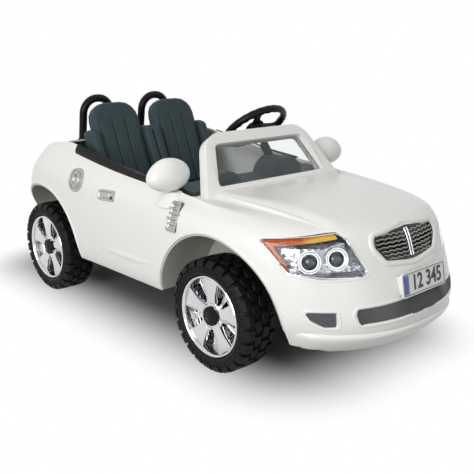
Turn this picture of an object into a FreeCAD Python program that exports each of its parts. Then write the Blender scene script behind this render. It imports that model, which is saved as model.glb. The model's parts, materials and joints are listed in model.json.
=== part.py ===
import FreeCAD, Part
import math
import os
from collections import namedtuple

import Sketcher

# Two-seat electric ride-on car. It stands on Z = 0 with its nose towards -Y and its right side at -X.
# All sizes are in millimetres and all angles in degrees.

VECTOR = FreeCAD.Vector
ORIGIN = VECTOR(0, 0, 0)
X_AXIS = VECTOR(1, 0, 0)
Y_AXIS = VECTOR(0, 1, 0)
Z_AXIS = VECTOR(0, 0, 1)
SIDES = (("right", -1), ("left", 1))
ALONG = {
    "x": FreeCAD.Rotation(Y_AXIS, 90),
    "y": FreeCAD.Rotation(X_AXIS, -90),
    "z": FreeCAD.Rotation(),
}

document = FreeCAD.newDocument("ride_on_car")

SIZES = {
    # body skin
    "body_width": 680, "body_wall": 5, "front_overhang": 392, "rear_overhang": 243, "lip_height": 112,
    "sill_height": 155, "tail_lip_height": 170, "hood_height": 412, "belt_height": 450, "deck_height": 492,
    "hood_ridge": 12, "fender_flare": 8, "arch_radius": 208, "arch_lead": 8, "seat_gap": 0.3,
    # places along the car
    "dash_behind_axle": 145, "legroom": 95, "seat_depth": 247, "seat_arch_gap": 8, "cowl_lead": 15,
    "deck_lead": 57, "screen_lead": 30, "mirror_setback": 39, "pedal_setback": 88, "lever_lead": 30,
    "hoop_setback": 75,
    # wheels and axles
    "tyre_radius": 145, "tyre_width": 100, "rim_radius": 103, "wheel_inset": 5, "tread_depth": 8,
    "tread_blocks": 22, "tread_slot": 10, "spokes": 5, "hub_radius": 25, "hub_recess": 16, "hub_inset": 10,
    "dish_recess": 23, "dish_sheet": 12, "dish_foot": 9, "dish_neck": 16, "throat_run": 5, "throat_drop": 13,
    "hub_step": 2, "boss_radius": 20, "rim_lip": 6, "axle_radius": 6, "running_gap": 0.1,
    "kingpin_inset": 135, "kingpin_radius": 5, "knuckle_radius": 13, "collar_sheet": 4, "steer_arm": 60,
    "arm_half_width": 11, "arm_sheet": 10, "arm_tail": 17, "link_pin_radius": 4, "link_play": 1.4,
    "fork_plate": 6, "fork_root": 35, "fork_overhang": 17, "web_sheet": 16, "beam_height": 20, "beam_width": 28,
    "tie_bar_width": 16, "tie_bar_sheet": 10, "tie_bar_drop": 14, "tie_head": 3, "tie_head_rim": 4,
    "crank_pin_radius": 5, "crank_play": 0.5, "finger_sheet": 6, "finger_rise": 26, "finger_front": 19,
    "finger_rear": 5, "fork_lead": 18, "pin_dip": 2.5,
    # floor pan
    "floor_height": 158, "floor_sheet": 8, "floor_edge_gap": 1.1, "floor_arch_gap": 14, "spine_half_width": 165,
    "firewall_height": 142, "firewall_sheet": 10, "liner_sheet": 4, "liner_inner_x": 176, "liner_foot": 16,
    "gate_margin": 50, "gate_headroom": 30, "riser_sheet": 12, "riser_inner_inset": 10.5,
    "riser_outer_inset": 15.5, "riser_setback": 25, "riser_rear_gap": 8, "saddle_x": 100, "saddle_half": 10,
    "saddle_reach": 14, "saddle_drop": 13, "tunnel_half_width": 28, "tunnel_front": 50, "tunnel_rear": 40,
    "tunnel_height": 84, "link_gate_half": 40, "link_gate_front": 40, "link_gate_rear": 26,
    # steering
    "column_rake": 38, "hub_height": 545, "driver_offset": 114.5, "wheel_rim_radius": 95,
    "wheel_grip_radius": 9.5, "wheel_hub_radius": 28, "wheel_hub_top": 6, "wheel_hub_foot": 24,
    "wheel_spoke_half": 9, "wheel_spoke_sheet": 8, "shaft_radius": 8, "shaft_socket": 14, "crank_reach": 42,
    "crank_half_width": 4.5, "crank_sheet": 10, "crank_tail": 6, "crank_pin_length": 31, "column_radius": 13,
    "column_start": 60, "column_end": 400, "column_foot_at": 351, "column_foot_half": 26,
    "column_foot_sheet": 8, "column_foot_rise": 22, "horn_radius": 20, "horn_height": 7, "horn_proud": 3.5,
    "horn_travel": 2.5, "press_slack": 0.5,
    # cockpit
    "seat_width": 226, "seat_bolster": 28, "cushion_height": 38, "cushion_round": 12, "seat_back_rise": 344,
    "seat_back_lean": 22, "seat_back_thickness": 40, "bolster_lift": 20, "bolster_rise": 266,
    "bolster_round": 14, "bolster_inset": 6, "crown_radius": 38,
    "dash_inset": 90, "dash_depth": 108, "dash_rise": 18, "dash_undercut": 34, "dash_corner": 30,
    "mound_radius": 62, "mound_drop": 22, "mound_length": 82, "pod_radius": 48, "pod_drop": 24,
    "pod_length": 68, "mound_setback": 22, "button_x": 34, "button_drop": 44, "button_radius": 9,
    "button_length": 19, "button_room": 6, "socket_radius": 11, "socket_length": 24, "socket_bore": 6,
    "socket_depth": 16, "control_proud": 1,
    "pedal_width": 50, "pedal_length": 88, "pedal_sheet": 8, "pedal_lean": 35, "pedal_pin_radius": 4,
    "pedal_sleeve": 3, "pedal_shift": 14, "pedal_lift": 10, "ear_sheet": 8, "ear_gap": 1, "ear_half": 9,
    "ear_height": 20, "lever_length": 92, "lever_radius": 5, "knob_radius": 16, "lever_lift": 64,
    "lever_pin_radius": 4, "lever_pin_length": 54, "lever_barrel_radius": 9, "lever_barrel_length": 26,
    "lever_slot_half": 15, "lever_slot_reach": 30, "lever_slot_drop": 16,
    "battery_length": 95, "battery_width": 150, "battery_height": 92, "battery_setback": 40,
    "battery_headroom": 4, "control_width": 100, "control_length": 90, "control_height": 42,
    "control_setback": 60, "gearbox_width": 56, "gearbox_length": 120, "gearbox_height": 80,
    "gearbox_lead": 20, "motor_radius": 18, "motor_length": 60,
    # screen, hoops, mirrors
    "screen_rake": 32.5, "screen_height": 117, "screen_top_half": 164, "screen_foot_half": 205,
    "screen_rise": 14, "frame_bar": 32, "pillar_bar": 28, "frame_depth": 34, "frame_sink": 34,
    "frame_spread": 12, "frame_corner": 40, "opening_round": 12, "pane_sheet": 4,
    "hoop_half_width": 51, "hoop_height": 144, "hoop_tube_radius": 12.5, "hoop_bend": 48, "hoop_lean": 9,
    "hoop_sink": 22, "mirror_inset": 37, "mirror_rise": 18, "mirror_half_width": 60, "mirror_half_depth": 35,
    "mirror_half_height": 37, "mirror_flat": 19, "mirror_glass_sheet": 2, "mirror_rim": 10,
    "mirror_pin_radius": 5, "mirror_pin_inset": 14, "mirror_pin_sink": 6, "mirror_boss_sheet": 13,
    "mirror_boss_root": 62, "mirror_boss_gap": 1,
    # outside trim
    "trim_recess": 4, "trim_depth": 6, "trim_root": 6, "trim_corner": 10, "trim_proud": 1, "lamp_turn": 33,
    "lens_recess": 0.5, "lens_sheet": 3, "lamp_depth": 42, "bowl_wall": 3, "signal_sheet": 8.7,
    "ring_radius": 26, "ring_wall": 5, "ring_depth": 14, "tail_lamp_sheet": 7.5,
    "grille_slats": 6, "grille_span": 60, "grille_rim": 7, "grille_spine_half": 9, "grille_slot_half": 118,
    "grille_slot": 4.5, "plate_width": 170, "plate_height": 57, "plate_sheet": 5, "plate_rise": 152,
    "plate_setback": 8, "plate_lean": 10, "plate_corner": 6, "plate_block_inset": 8, "plate_block_depth": 60,
    "cap_lead": 204, "cap_drop": 48, "cap_radius": 36, "cap_proud": 3, "cap_rim": 7, "cap_groove": 2,
    "cap_step": 3, "handle_setback": 99, "handle_drop": 71, "handle_length": 80, "handle_height": 32,
    "handle_tilt": 4, "handle_proud": 5, "grip_height": 12, "grip_inset": 5, "grip_corner": 4, "gill_setback": 131,
    "gill_drop": 35, "gill_slant": 92, "gill_length": 78, "gill_width": 30, "gill_fins": 6,
    "gill_fin_sheet": 6.5, "gill_fin_inset": 3, "gill_fin_proud": 5, "belt_trim_sheet": 5,
    "belt_trim_front": 138, "belt_trim_rear": 88, "belt_trim_inset": 53,
}

sheet = document.addObject("Spreadsheet::Sheet", "Sizes")
for row, (alias, value) in enumerate(SIZES.items(), start=1):
    sheet.set(f"A{row}", alias)
    sheet.set(f"B{row}", str(value))
    sheet.setAlias(f"B{row}", alias)
document.recompute()


class Length:
    """A size with its value and the sheet expression that gives it."""

    def __init__(self, text, value):
        self.text = text
        self.value = value

    def joined(self, sign, other, value):
        return Length(f"({self.text} {sign} {as_length(other).text})", value)

    def __add__(self, other):
        return self.joined("+", other, self.value + float(other))

    def __sub__(self, other):
        return self.joined("-", other, self.value - float(other))

    def __mul__(self, other):
        return self.joined("*", other, self.value * float(other))

    def __truediv__(self, other):
        return self.joined("/", other, self.value / float(other))

    def __neg__(self):
        return Length(f"(0 - {self.text})", -self.value)

    def __radd__(self, other):
        return as_length(other) + self

    def __rsub__(self, other):
        return as_length(other) - self

    def __rmul__(self, other):
        return as_length(other) * self

    def __float__(self):
        return float(self.value)


def as_length(number):
    """A plain number as a length; a length stays as it is."""
    return number if isinstance(number, Length) else Length(repr(float(number)), float(number))


def named(alias):
    """A size of the sheet."""
    return Length(f"Sizes.{alias}", float(sheet.get(alias)))


def sine(angle):
    """Sine of an angle in degrees."""
    return Length(f"sin({angle.text})", math.sin(math.radians(float(angle))))


def cosine(angle):
    """Cosine of an angle in degrees."""
    return Length(f"cos({angle.text})", math.cos(math.radians(float(angle))))


def root(square):
    """Square root."""
    return Length(f"sqrt({square.text})", math.sqrt(float(square)))


class Sizes:
    """All sizes of the sheet by their names."""


for alias in SIZES:
    setattr(Sizes, alias, named(alias))

AXLE_Z = Sizes.tyre_radius
FLOOR_TOP = Sizes.floor_height + Sizes.floor_sheet
RISER_TOP = FLOOR_TOP + Sizes.battery_height + Sizes.battery_headroom
DASH_FOOT = FLOOR_TOP + Sizes.firewall_height
DASH_TOP = Sizes.hood_height + Sizes.dash_rise

# The rear arch stands clear of the foot of the seat backs, which sets the wheelbase.
SEAT_OVER_AXLE = RISER_TOP - AXLE_Z
ARCH_AT_SEAT = root(Sizes.arch_radius * Sizes.arch_radius - SEAT_OVER_AXLE * SEAT_OVER_AXLE)
COCKPIT = Sizes.dash_depth + Sizes.legroom + Sizes.seat_depth + Sizes.seat_back_thickness
WHEELBASE = Sizes.dash_behind_axle + COCKPIT + Sizes.seat_arch_gap + ARCH_AT_SEAT
BODY_LENGTH = Sizes.front_overhang + WHEELBASE + Sizes.rear_overhang

NOSE_Y = -BODY_LENGTH / 2
TAIL_Y = BODY_LENGTH / 2
FRONT_AXLE_Y = NOSE_Y + Sizes.front_overhang
REAR_AXLE_Y = TAIL_Y - Sizes.rear_overhang
FRONT_ARCH_Y = FRONT_AXLE_Y - Sizes.arch_lead
DASH_Y = FRONT_AXLE_Y + Sizes.dash_behind_axle
DASH_REAR_Y = DASH_Y + Sizes.dash_depth
SEAT_Y = DASH_REAR_Y + Sizes.legroom
SEAT_BACK_Y = SEAT_Y + Sizes.seat_depth
COWL_Y = DASH_Y - Sizes.cowl_lead
DECK_Y = REAR_AXLE_Y - Sizes.deck_lead
SCREEN_Y = DASH_Y - Sizes.screen_lead
SCREEN_Z = Sizes.hood_height + Sizes.screen_rise
LEVER_Y = SEAT_Y - Sizes.lever_lead
LEVER_Z = FLOOR_TOP + Sizes.lever_lift
PEDAL_X = Sizes.driver_offset + Sizes.pedal_shift
PEDAL_Y = DASH_Y + Sizes.pedal_setback
PEDAL_Z = FLOOR_TOP + Sizes.pedal_lift
BUTTON_Z = DASH_TOP - Sizes.button_drop
WHEEL_X = Sizes.body_width / 2 - Sizes.wheel_inset - Sizes.tyre_width / 2
HUB_OUT = Sizes.tyre_width / 2 - Sizes.hub_recess
HUB_IN = Sizes.tyre_width / 2 - Sizes.hub_inset
KINGPIN_X = Sizes.body_width / 2 - Sizes.kingpin_inset

# The tip of the crank pin runs in the tie rod's fork, which sets the shaft's length and the wheel's place.
TIE_Y = FRONT_AXLE_Y + Sizes.steer_arm
RAKE_SINE, RAKE_COSINE = sine(Sizes.column_rake), cosine(Sizes.column_rake)
PIN_TIP_Z = AXLE_Z - Sizes.pin_dip
PIN_TIP_DOWN = (Sizes.hub_height - Sizes.crank_reach * RAKE_SINE - PIN_TIP_Z) / RAKE_COSINE
SHAFT_LENGTH = PIN_TIP_DOWN - Sizes.crank_pin_length
HUB_Y = TIE_Y - Sizes.fork_lead - Sizes.crank_reach * RAKE_COSINE + PIN_TIP_DOWN * RAKE_SINE

# Cutting tools reach this far past what they cut.
PAST = 1


# Building helpers

def bind(target, prop, value):
    """Ties a property to the sheet."""
    target.setExpression(prop, as_length(value).text)


def place(target, x=0, y=0, z=0, axis=None, angle=0):
    """Ties an object's position, and its turn about an axis, to the sheet."""
    if axis is not None:
        target.Placement = FreeCAD.Placement(ORIGIN, FreeCAD.Rotation(axis, 1))
        bind(target, "Placement.Rotation.Angle", angle)
    for letter, value in zip("xyz", (x, y, z)):
        bind(target, f"Placement.Base.{letter}", value)
    return target


def box(name, x, y, z):
    """Box between pairs of limits."""
    block = document.addObject("Part::Box", name)
    for prop, (low, high) in zip(("Length", "Width", "Height"), (x, y, z)):
        bind(block, prop, as_length(high) - low)
    return place(block, x[0], y[0], z[0])


def cylinder(name, radius, height, along="z", at=(0, 0, 0), sweep=360):
    """Cylinder that starts at a point and runs along an axis."""
    rod = document.addObject("Part::Cylinder", name)
    bind(rod, "Radius", radius)
    bind(rod, "Height", height)
    rod.Angle = sweep
    rod.Placement = FreeCAD.Placement(ORIGIN, ALONG[along])
    for letter, value in zip("xyz", at):
        bind(rod, f"Placement.Base.{letter}", value)
    return rod


def fuse(name, *pieces):
    """Pieces joined to one solid."""
    joined = document.addObject("Part::MultiFuse", name)
    joined.Shapes = list(pieces)
    joined.Refine = True
    return joined


def cut(name, base, *tools):
    """A base with tools taken away."""
    rest = document.addObject("Part::Cut", name)
    rest.Base = base
    rest.Tool = tools[0] if len(tools) == 1 else fuse(f"{name}_tools", *tools)
    return rest


def common(name, *pieces):
    """What pieces share."""
    shared = document.addObject("Part::MultiCommon", name)
    shared.Shapes = list(pieces)
    return shared


def shaped(name, shape):
    """A free-form piece."""
    feature = document.addObject("Part::Feature", name)
    feature.Shape = shape
    return feature


def new_body(name):
    """An empty body."""
    return document.addObject("PartDesign::Body", name)


def origin_plane(owner, role):
    """A body's own origin plane or axis."""
    return next(item for item in owner.Origin.OriginFeatures if item.Role == role)


def outline(owner, name, role, corners, lift=0):
    """Closed sketch of straight sides on an origin plane, each corner tied to the sheet."""
    drawing = owner.newObject("Sketcher::SketchObject", name)
    drawing.AttachmentSupport = [(origin_plane(owner, role), "")]
    drawing.MapMode = "FlatFace"
    bind(drawing, "AttachmentOffset.Base.z", lift)
    points = [VECTOR(float(across), float(up), 0) for across, up in corners]
    count = len(points)
    for index, point in enumerate(points):
        drawing.addGeometry(Part.LineSegment(point, points[(index + 1) % count]), False)
    for index in range(count):
        drawing.addConstraint(Sketcher.Constraint("Coincident", index, 2, (index + 1) % count, 1))
    for index, corner in enumerate(corners):
        for kind, value in zip(("DistanceX", "DistanceY"), corner):
            rule = drawing.addConstraint(Sketcher.Constraint(kind, -1, 1, index, 1, float(value)))
            bind(drawing, f"Constraints[{rule}]", value)
    return drawing


def pad(owner, drawing, length, midplane=False, backwards=False):
    """Sketch raised to a solid."""
    raised = owner.newObject("PartDesign::Pad", f"{drawing.Name}_pad")
    raised.Profile = drawing
    bind(raised, "Length", length)
    raised.Midplane = midplane
    raised.Reversed = backwards
    return raised


def pocket(owner, drawing, length, midplane=False, backwards=False):
    """Sketch cut into a solid."""
    sunk = owner.newObject("PartDesign::Pocket", f"{drawing.Name}_pocket")
    sunk.Profile = drawing
    bind(sunk, "Length", length)
    sunk.Midplane = midplane
    sunk.Reversed = backwards
    return sunk


def revolve(owner, drawing):
    """Sketch turned once round the body's X axis."""
    turned = owner.newObject("PartDesign::Revolution", f"{drawing.Name}_turn")
    turned.Profile = drawing
    turned.ReferenceAxis = (drawing, ["H_Axis"])
    turned.Angle = 360
    return turned


def repeat_round(owner, features, count):
    """Features repeated round the body's X axis."""
    pattern = owner.newObject("PartDesign::PolarPattern", f"{features[0].Name}_round")
    pattern.Originals = features
    pattern.Axis = (origin_plane(owner, "X_Axis"), [""])
    pattern.Angle = 360
    bind(pattern, "Occurrences", count)
    owner.Tip = pattern
    return pattern


def round_edges(owner, feature, radius, wanted):
    """Rounds the edges of a feature that a test picks."""
    document.recompute()
    picked = [f"Edge{index}" for index, edge in enumerate(feature.Shape.Edges, start=1) if wanted(edge)]
    rounded = owner.newObject("PartDesign::Fillet", f"{feature.Name}_round")
    rounded.Base = (feature, picked)
    bind(rounded, "Radius", radius)
    return rounded


def mirrored(shape):
    """A right-hand shape turned into the left-hand one."""
    return shape.mirror(ORIGIN, X_AXIS)


NODES = []


def node(name, piece):
    """Keeps a piece as one of the car's parts, under its own label."""
    piece.Label = name
    NODES.append(piece)
    return piece


def span(sign, inner, outer):
    """Limits across the car, on one side, of a piece between two distances from its middle."""
    return (inner, outer) if sign > 0 else (-as_length(outer), -as_length(inner))


# Body skin: level curves run round the car, from the lower edge up to the cockpit opening.
# Each level is drawn in by a tuck at the sides and by an inset at nose and tail. It runs straight
# along the doors between two bends, placed from the axles, and closes at each end in a superellipse.
# The climb is its share of the way from the lower edge to the opening, at five stops along the car:
# nose, front axle, door, rear axle and tail. The hood ridge swells inside an angle from the nose.
Level = namedtuple("Level", [
    "tuck", "nose_inset", "tail_inset", "front_bend", "rear_bend", "nose_power", "tail_power", "climb",
    "ridge", "ridge_at"])
COWL_INSET = float(COWL_Y - NOSE_Y)
DECK_INSET = float(TAIL_Y - DECK_Y)
LEVELS = (
    Level(14, 44, 30, 3, -62, 2.3, 3.0, (0, 0, 0, 0, 0), 0, 35),
    Level(3, 13, 10, 3, -62, 2.3, 3.0, (0.12, 0.148, 0.136, 0.12, 0.11), 0, 35),
    Level(0, 0, 0, 3, -62, 2.35, 3.0, (0.27, 0.37, 0.339, 0.30, 0.297), 0, 35),
    Level(1, 33, 4, 3, -62, 2.4, 3.0, (0.593, 0.648, 0.559, 0.512, 0.516), 0, 35),
    Level(14, 60, 20, 3, -62, 2.4, 3.0, (0.833, 0.87, 0.803, 0.747, 0.688), 0, 35),
    Level(42, 105, 50, 33, -62, 2.5, 3.0, (0.933, 0.956, 0.932, 0.898, 0.788), 0.6, 37),
    Level(54, 290, 120, 133, -82, 3.0, 3.4, (0.993, 0.993, 0.986, 0.964, 0.88), 1, 40),
    Level(62, COWL_INSET, DECK_INSET, 193, -122, 5.0, 5.0, (1, 1, 1, 1, 1), 1, 42),
)
STEPS_PER_STRETCH = 16
STRETCHES = 3
RIDGE_SOFTNESS = 7
FLARE_REACH = 200
NOSE_RUN = 50
TAIL_RUN = 60


def ease(share):
    """Smooth step from 0 to 1."""
    share = max(0.0, min(1.0, share))
    return share * share * (3 - 2 * share)


def smooth_curve(keys, position):
    """Height at a position on a smooth curve through (position, height) keys."""
    if position <= keys[0][0]:
        return keys[0][1]
    slopes = [0.0]
    for before, after in zip(keys, keys[2:]):
        slopes.append((after[1] - before[1]) / (after[0] - before[0]))
    slopes.append(0.0)
    for index in range(len(keys) - 1):
        (start, low), (end, high) = keys[index], keys[index + 1]
        if position <= end:
            span = end - start
            share = (position - start) / span
            lead = slopes[index] * share * (1 - share) ** 2
            trail = slopes[index + 1] * share * share * (share - 1)
            return low + (high - low) * ease(share) + span * (lead + trail)
    return keys[-1][1]


def superellipse(angle, power):
    """Unit superellipse: across and along shares at an angle from the car's centre line."""
    across = math.sin(angle)
    along = max(0.0, math.cos(angle))
    reach = (across ** power + along ** power) ** (-1 / power)
    return across * reach, along * reach


def level_point(level, station):
    """Point on the right half of a level.

    Stations 0 to 1 turn the nose, 1 to 2 run along the door and 2 to 3 turn the tail.
    """
    front_axle, rear_axle = float(FRONT_AXLE_Y), float(REAR_AXLE_Y)
    nose, tail = float(NOSE_Y) + level.nose_inset, float(TAIL_Y) - level.tail_inset
    front_bend, rear_bend = front_axle + level.front_bend, rear_axle + level.rear_bend
    if station <= 1:
        across, along = superellipse(station * math.pi / 2, level.nose_power)
        y = front_bend + (nose - front_bend) * along
    elif station <= 2:
        across = 1.0
        y = front_bend + (rear_bend - front_bend) * (station - 1)
    else:
        across, along = superellipse((3 - station) * math.pi / 2, level.tail_power)
        y = rear_bend + (tail - rear_bend) * along
    to_axle = min(abs(y - front_axle), abs(y - rear_axle))
    flare = float(Sizes.fender_flare) * (math.exp(-(to_axle / FLARE_REACH) ** 2) - 1)
    x = -across * (float(Sizes.body_width) / 2 - level.tuck + flare)
    sill, hood, deck = float(Sizes.sill_height), float(Sizes.hood_height), float(Sizes.deck_height)
    low = (float(Sizes.lip_height), sill, sill, sill, float(Sizes.tail_lip_height))
    high = (hood, hood, float(Sizes.belt_height), deck, deck)
    door = (front_axle + rear_axle) / 2
    stops = (nose, max(front_axle, nose + NOSE_RUN), door, min(rear_axle, tail - TAIL_RUN), tail)
    keys = [(stop, a + (b - a) * share) for stop, a, b, share in zip(stops, low, high, level.climb)]
    z = smooth_curve(keys, y)
    if station < 1:
        swell = (level.ridge_at + RIDGE_SOFTNESS / 2 - station * 90) / RIDGE_SOFTNESS
        z += float(Sizes.hood_ridge) * level.ridge * ease(swell)
    return VECTOR(x, y, z)


def skin_normal(index, station):
    """Outward normal of the skin at a level and station."""
    step = 0.01
    ahead = level_point(LEVELS[index], min(STRETCHES, station + step))
    behind = level_point(LEVELS[index], max(0, station - step))
    above = level_point(LEVELS[min(index + 1, len(LEVELS) - 1)], station)
    below = level_point(LEVELS[max(index - 1, 0)], station)
    normal = (above - below).cross(ahead - behind)
    if station in (0, STRETCHES):
        normal.x = 0
    return normal.normalize()


def skin_surface(depth):
    """Closed spline surface that lies a depth inside the outer skin."""
    stations = [step / STEPS_PER_STRETCH for step in range(STRETCHES * STEPS_PER_STRETCH + 1)]
    rings = []
    for index, level in enumerate(LEVELS):
        half = [level_point(level, station) - skin_normal(index, station) * depth for station in stations]
        rings.append(half + [VECTOR(-point.x, point.y, point.z) for point in reversed(half[1:-1])])
    count = len(rings[0])
    around = []
    for ring in rings:
        curve = Part.BSplineCurve()
        curve.interpolate(Points=ring, PeriodicFlag=True, Parameters=[float(step) for step in range(count + 1)])
        around.append(curve)
    heights = [0.0]
    for lower, upper in zip(rings, rings[1:]):
        mean = sum((a - b).Length for a, b in zip(lower, upper)) / count
        heights.append(heights[-1] + math.sqrt(mean))
    columns = []
    for index in range(around[0].NbPoles):
        column = Part.BSplineCurve()
        column.interpolate(Points=[curve.getPole(index + 1) for curve in around], Parameters=heights)
        columns.append(column)
    surface = Part.BSplineSurface()
    surface.buildFromPolesMultsKnots(
        [column.getPoles() for column in columns],
        around[0].getMultiplicities(), columns[0].getMultiplicities(),
        around[0].getKnots(), columns[0].getKnots(), True, False, 3, 3)
    return surface


def skin_halves(depth):
    """Right and left faces of the skin at a depth."""
    surface = skin_surface(depth)
    first, last, low, high = surface.bounds()
    middle = (first + last) / 2
    return [surface.toShape(first, middle, low, high), surface.toShape(middle, last, low, high)]


def edge_at(face, highest):
    """The lower or upper long edge of a half skin face."""
    long_edges = sorted(face.Edges, key=lambda edge: edge.Length)[-2:]
    ranked = sorted(long_edges, key=lambda edge: edge.CenterOfMass.z)
    return ranked[-1] if highest else ranked[0]


def sewn_solid(faces):
    """A closed solid from faces that meet along their edges."""
    shell = Part.makeCompound(faces)
    shell.sewShape()
    solid = Part.Solid(shell.Shells[0])
    if solid.Volume < 0:
        solid.reverse()
    return solid


def skin_band(outer_depth, inner_depth):
    """Solid wall between two depths of the skin, open over the cockpit and below."""
    outer = skin_halves(outer_depth)
    inner = skin_halves(inner_depth)
    rims = []
    for outside, inside in zip(outer, inner):
        for highest in (False, True):
            rims.append(Part.makeRuledSurface(edge_at(outside, highest), edge_at(inside, highest)))
    return sewn_solid(outer + inner + rims)


def skin_core(depth):
    """Solid that fills the skin at a depth, closed straight across the opening and below."""
    right, left = skin_halves(depth)
    caps = [Part.makeRuledSurface(edge_at(right, highest), edge_at(left, highest)) for highest in (False, True)]
    return sewn_solid([right, left] + caps)


GAP = float(Sizes.seat_gap)
WALL = float(Sizes.body_wall)
outer_skin = skin_surface(0)
outside_core = shaped("outside_core", skin_core(-GAP))
floor_core = shaped("floor_core", skin_core(WALL + float(Sizes.floor_edge_gap)))
wall_core = shaped("wall_core", skin_core(WALL / 2))


def skin_spot(y, z):
    """Point of the right side's skin near a height and distance, with its outward normal."""
    across, up = outer_skin.parameter(VECTOR(-float(Sizes.body_width) / 2, y, z))
    point = outer_skin.value(across, up)
    normal = outer_skin.normal(across, up)
    return point, normal if normal.x < 0 else normal * -1


def spot_placement(y, z, slant=0):
    """Placement on the right side's skin: Z outwards, X rearwards along the skin, turned by a slant."""
    point, normal = skin_spot(y, z)
    turn = FreeCAD.Rotation(Y_AXIS, VECTOR(0, 0, 0), normal, "ZXY")
    return FreeCAD.Placement(point, turn.multiply(FreeCAD.Rotation(Z_AXIS, slant)))


# Openings cut through the skin, and the trim that fills them

REACH = float(BODY_LENGTH)
UPRIGHT = FreeCAD.Rotation(X_AXIS, 90)
FRONT_VIEW = FreeCAD.Placement(ORIGIN, UPRIGHT)
REAR_VIEW = FreeCAD.Placement(ORIGIN, FreeCAD.Rotation(Z_AXIS, 180).multiply(UPRIGHT))
LAMP_VIEW = FreeCAD.Placement(ORIGIN, FreeCAD.Rotation(Z_AXIS, -float(Sizes.lamp_turn)).multiply(UPRIGHT))


def raised(height, corners):
    """Corners with their heights counted from a level of the body."""
    return [(across, float(height) + up) for across, up in corners]


def prism(corners, radius, view, grow=0.0):
    """Long bar with rounded corners, seen along a view, grown or shrunk by a margin."""
    ring = Part.makePolygon([VECTOR(across, up, 0) for across, up in corners + corners[:1]])
    bar = Part.Face(ring).extrude(VECTOR(0, 0, REACH))
    bar = bar.makeFillet(radius, upright_edges(bar))
    if grow:
        foot = min(bar.Faces, key=lambda face: face.CenterOfMass.z)
        bar = Part.Face(foot.OuterWire.makeOffset2D(grow)).extrude(VECTOR(0, 0, REACH))
    bar.Placement = view
    return bar


def upright_edges(shape):
    """Edges of a shape that run along Z."""
    return [edge for edge in shape.Edges if abs(edge.tangentAt(edge.FirstParameter).z) > 0.99]


LAMP_CORNERS = raised(Sizes.hood_height, [
    (1, -42), (172, -25), (196, -40), (240, -112), (226, -122), (138, -122), (60, -114)])
SIGNAL_CORNERS = raised(Sizes.hood_height, [
    (10.5, -46.2), (168, -30.5), (176, -37.5), (132, -44), (48, -58), (77, -110), (61.5, -107.5)])
GRILLE_CORNERS = raised(
    Sizes.hood_height, [(-138, -40), (0, -31), (138, -40), (88, -99), (0, -104), (-88, -99)])
LOWER_GRILLE_CORNERS = raised(Sizes.lip_height, [
    (-194, 115), (-90, 119), (0, 123), (90, 119), (194, 115),
    (184, 73), (90, 76), (0, 81), (-90, 76), (-184, 73)])
VENT_CORNERS = raised(Sizes.lip_height, [(-273, 105), (-223, 107), (-223, 71), (-243, 70), (-263, 84)])
TAIL_LAMP_CORNERS = raised(Sizes.belt_height, [(185, -78), (282, -66), (290, -124), (200, -134)])
RING_SPOTS = raised(Sizes.hood_height, [(108.5, -88), (174.5, -81)])
LAMP_ROUND = 7
SIGNAL_ROUND = 2
GRILLE_ROUND = 21
LOWER_GRILLE_ROUND = 16
VENT_ROUND = 5


def both_sides(shape):
    """A right-hand shape together with its left-hand twin."""
    return [shape, mirrored(shape)]


def pair(name, shape):
    """A part made of a right-hand solid and its left-hand twin."""
    return node(name, shaped(name, Part.makeCompound(both_sides(shape))))


def filling(corners, radius, view, outer_depth, inner_depth, margin=GAP):
    """Piece of wall between two depths of the skin that fills an opening with a margin."""
    return skin_band(outer_depth, inner_depth).common(prism(corners, radius, view, -margin))


CAP_SPOT = (float(REAR_AXLE_Y - Sizes.cap_lead), float(Sizes.belt_height - Sizes.cap_drop))
HANDLE_SPOT = (float(SEAT_Y + Sizes.handle_setback), float(Sizes.belt_height - Sizes.handle_drop))
GILL_SPOT = (float(FRONT_AXLE_Y + Sizes.gill_setback), float(Sizes.hood_height - Sizes.gill_drop))
TRIM_ROOT = -WALL - float(Sizes.trim_root)
TRIM_PROUD = float(Sizes.trim_proud)
CUTTER = WALL * 4


def spot_disc(spot, radius, low, high):
    """Disc square to the right side's skin, between two heights over it."""
    disc = Part.makeCylinder(radius, high - low, VECTOR(0, 0, low))
    disc.Placement = spot_placement(*spot)
    return disc


def spot_block(spot, length, width, low, high, corner, slant=0):
    """Block with rounded corners square to the right side's skin, between two heights over it."""
    block = Part.makeBox(length, width, high - low, VECTOR(-length / 2, -width / 2, low))
    block = block.makeFillet(corner, upright_edges(block))
    block.Placement = spot_placement(*spot, slant)
    return block


def handle_block(margin, low, high):
    """Plate of the door handle, grown by a margin."""
    length, width = float(Sizes.handle_length) + 2 * margin, float(Sizes.handle_height) + 2 * margin
    corner, tilt = float(Sizes.trim_corner), float(Sizes.handle_tilt)
    return spot_block(HANDLE_SPOT, length, width, low, high, corner, tilt)


def gill_block(margin, low, high):
    """Plate of the finned gill, grown by a margin."""
    length, width = float(Sizes.gill_length) + 2 * margin, float(Sizes.gill_width) + 2 * margin
    corner, slant = float(Sizes.trim_corner), float(Sizes.gill_slant)
    return spot_block(GILL_SPOT, length, width, low, high, corner, slant)


def arch_cutters():
    """Round wheel openings in the skin."""
    inner = float(Sizes.spine_half_width)
    cutters = []
    for _, sign in SIDES:
        for axle_y in (FRONT_ARCH_Y, REAR_AXLE_Y):
            center = VECTOR(sign * inner, float(axle_y), float(AXLE_Z))
            cutters.append(Part.makeCylinder(float(Sizes.arch_radius), inner * 2, center, X_AXIS * sign))
    return cutters


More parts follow.
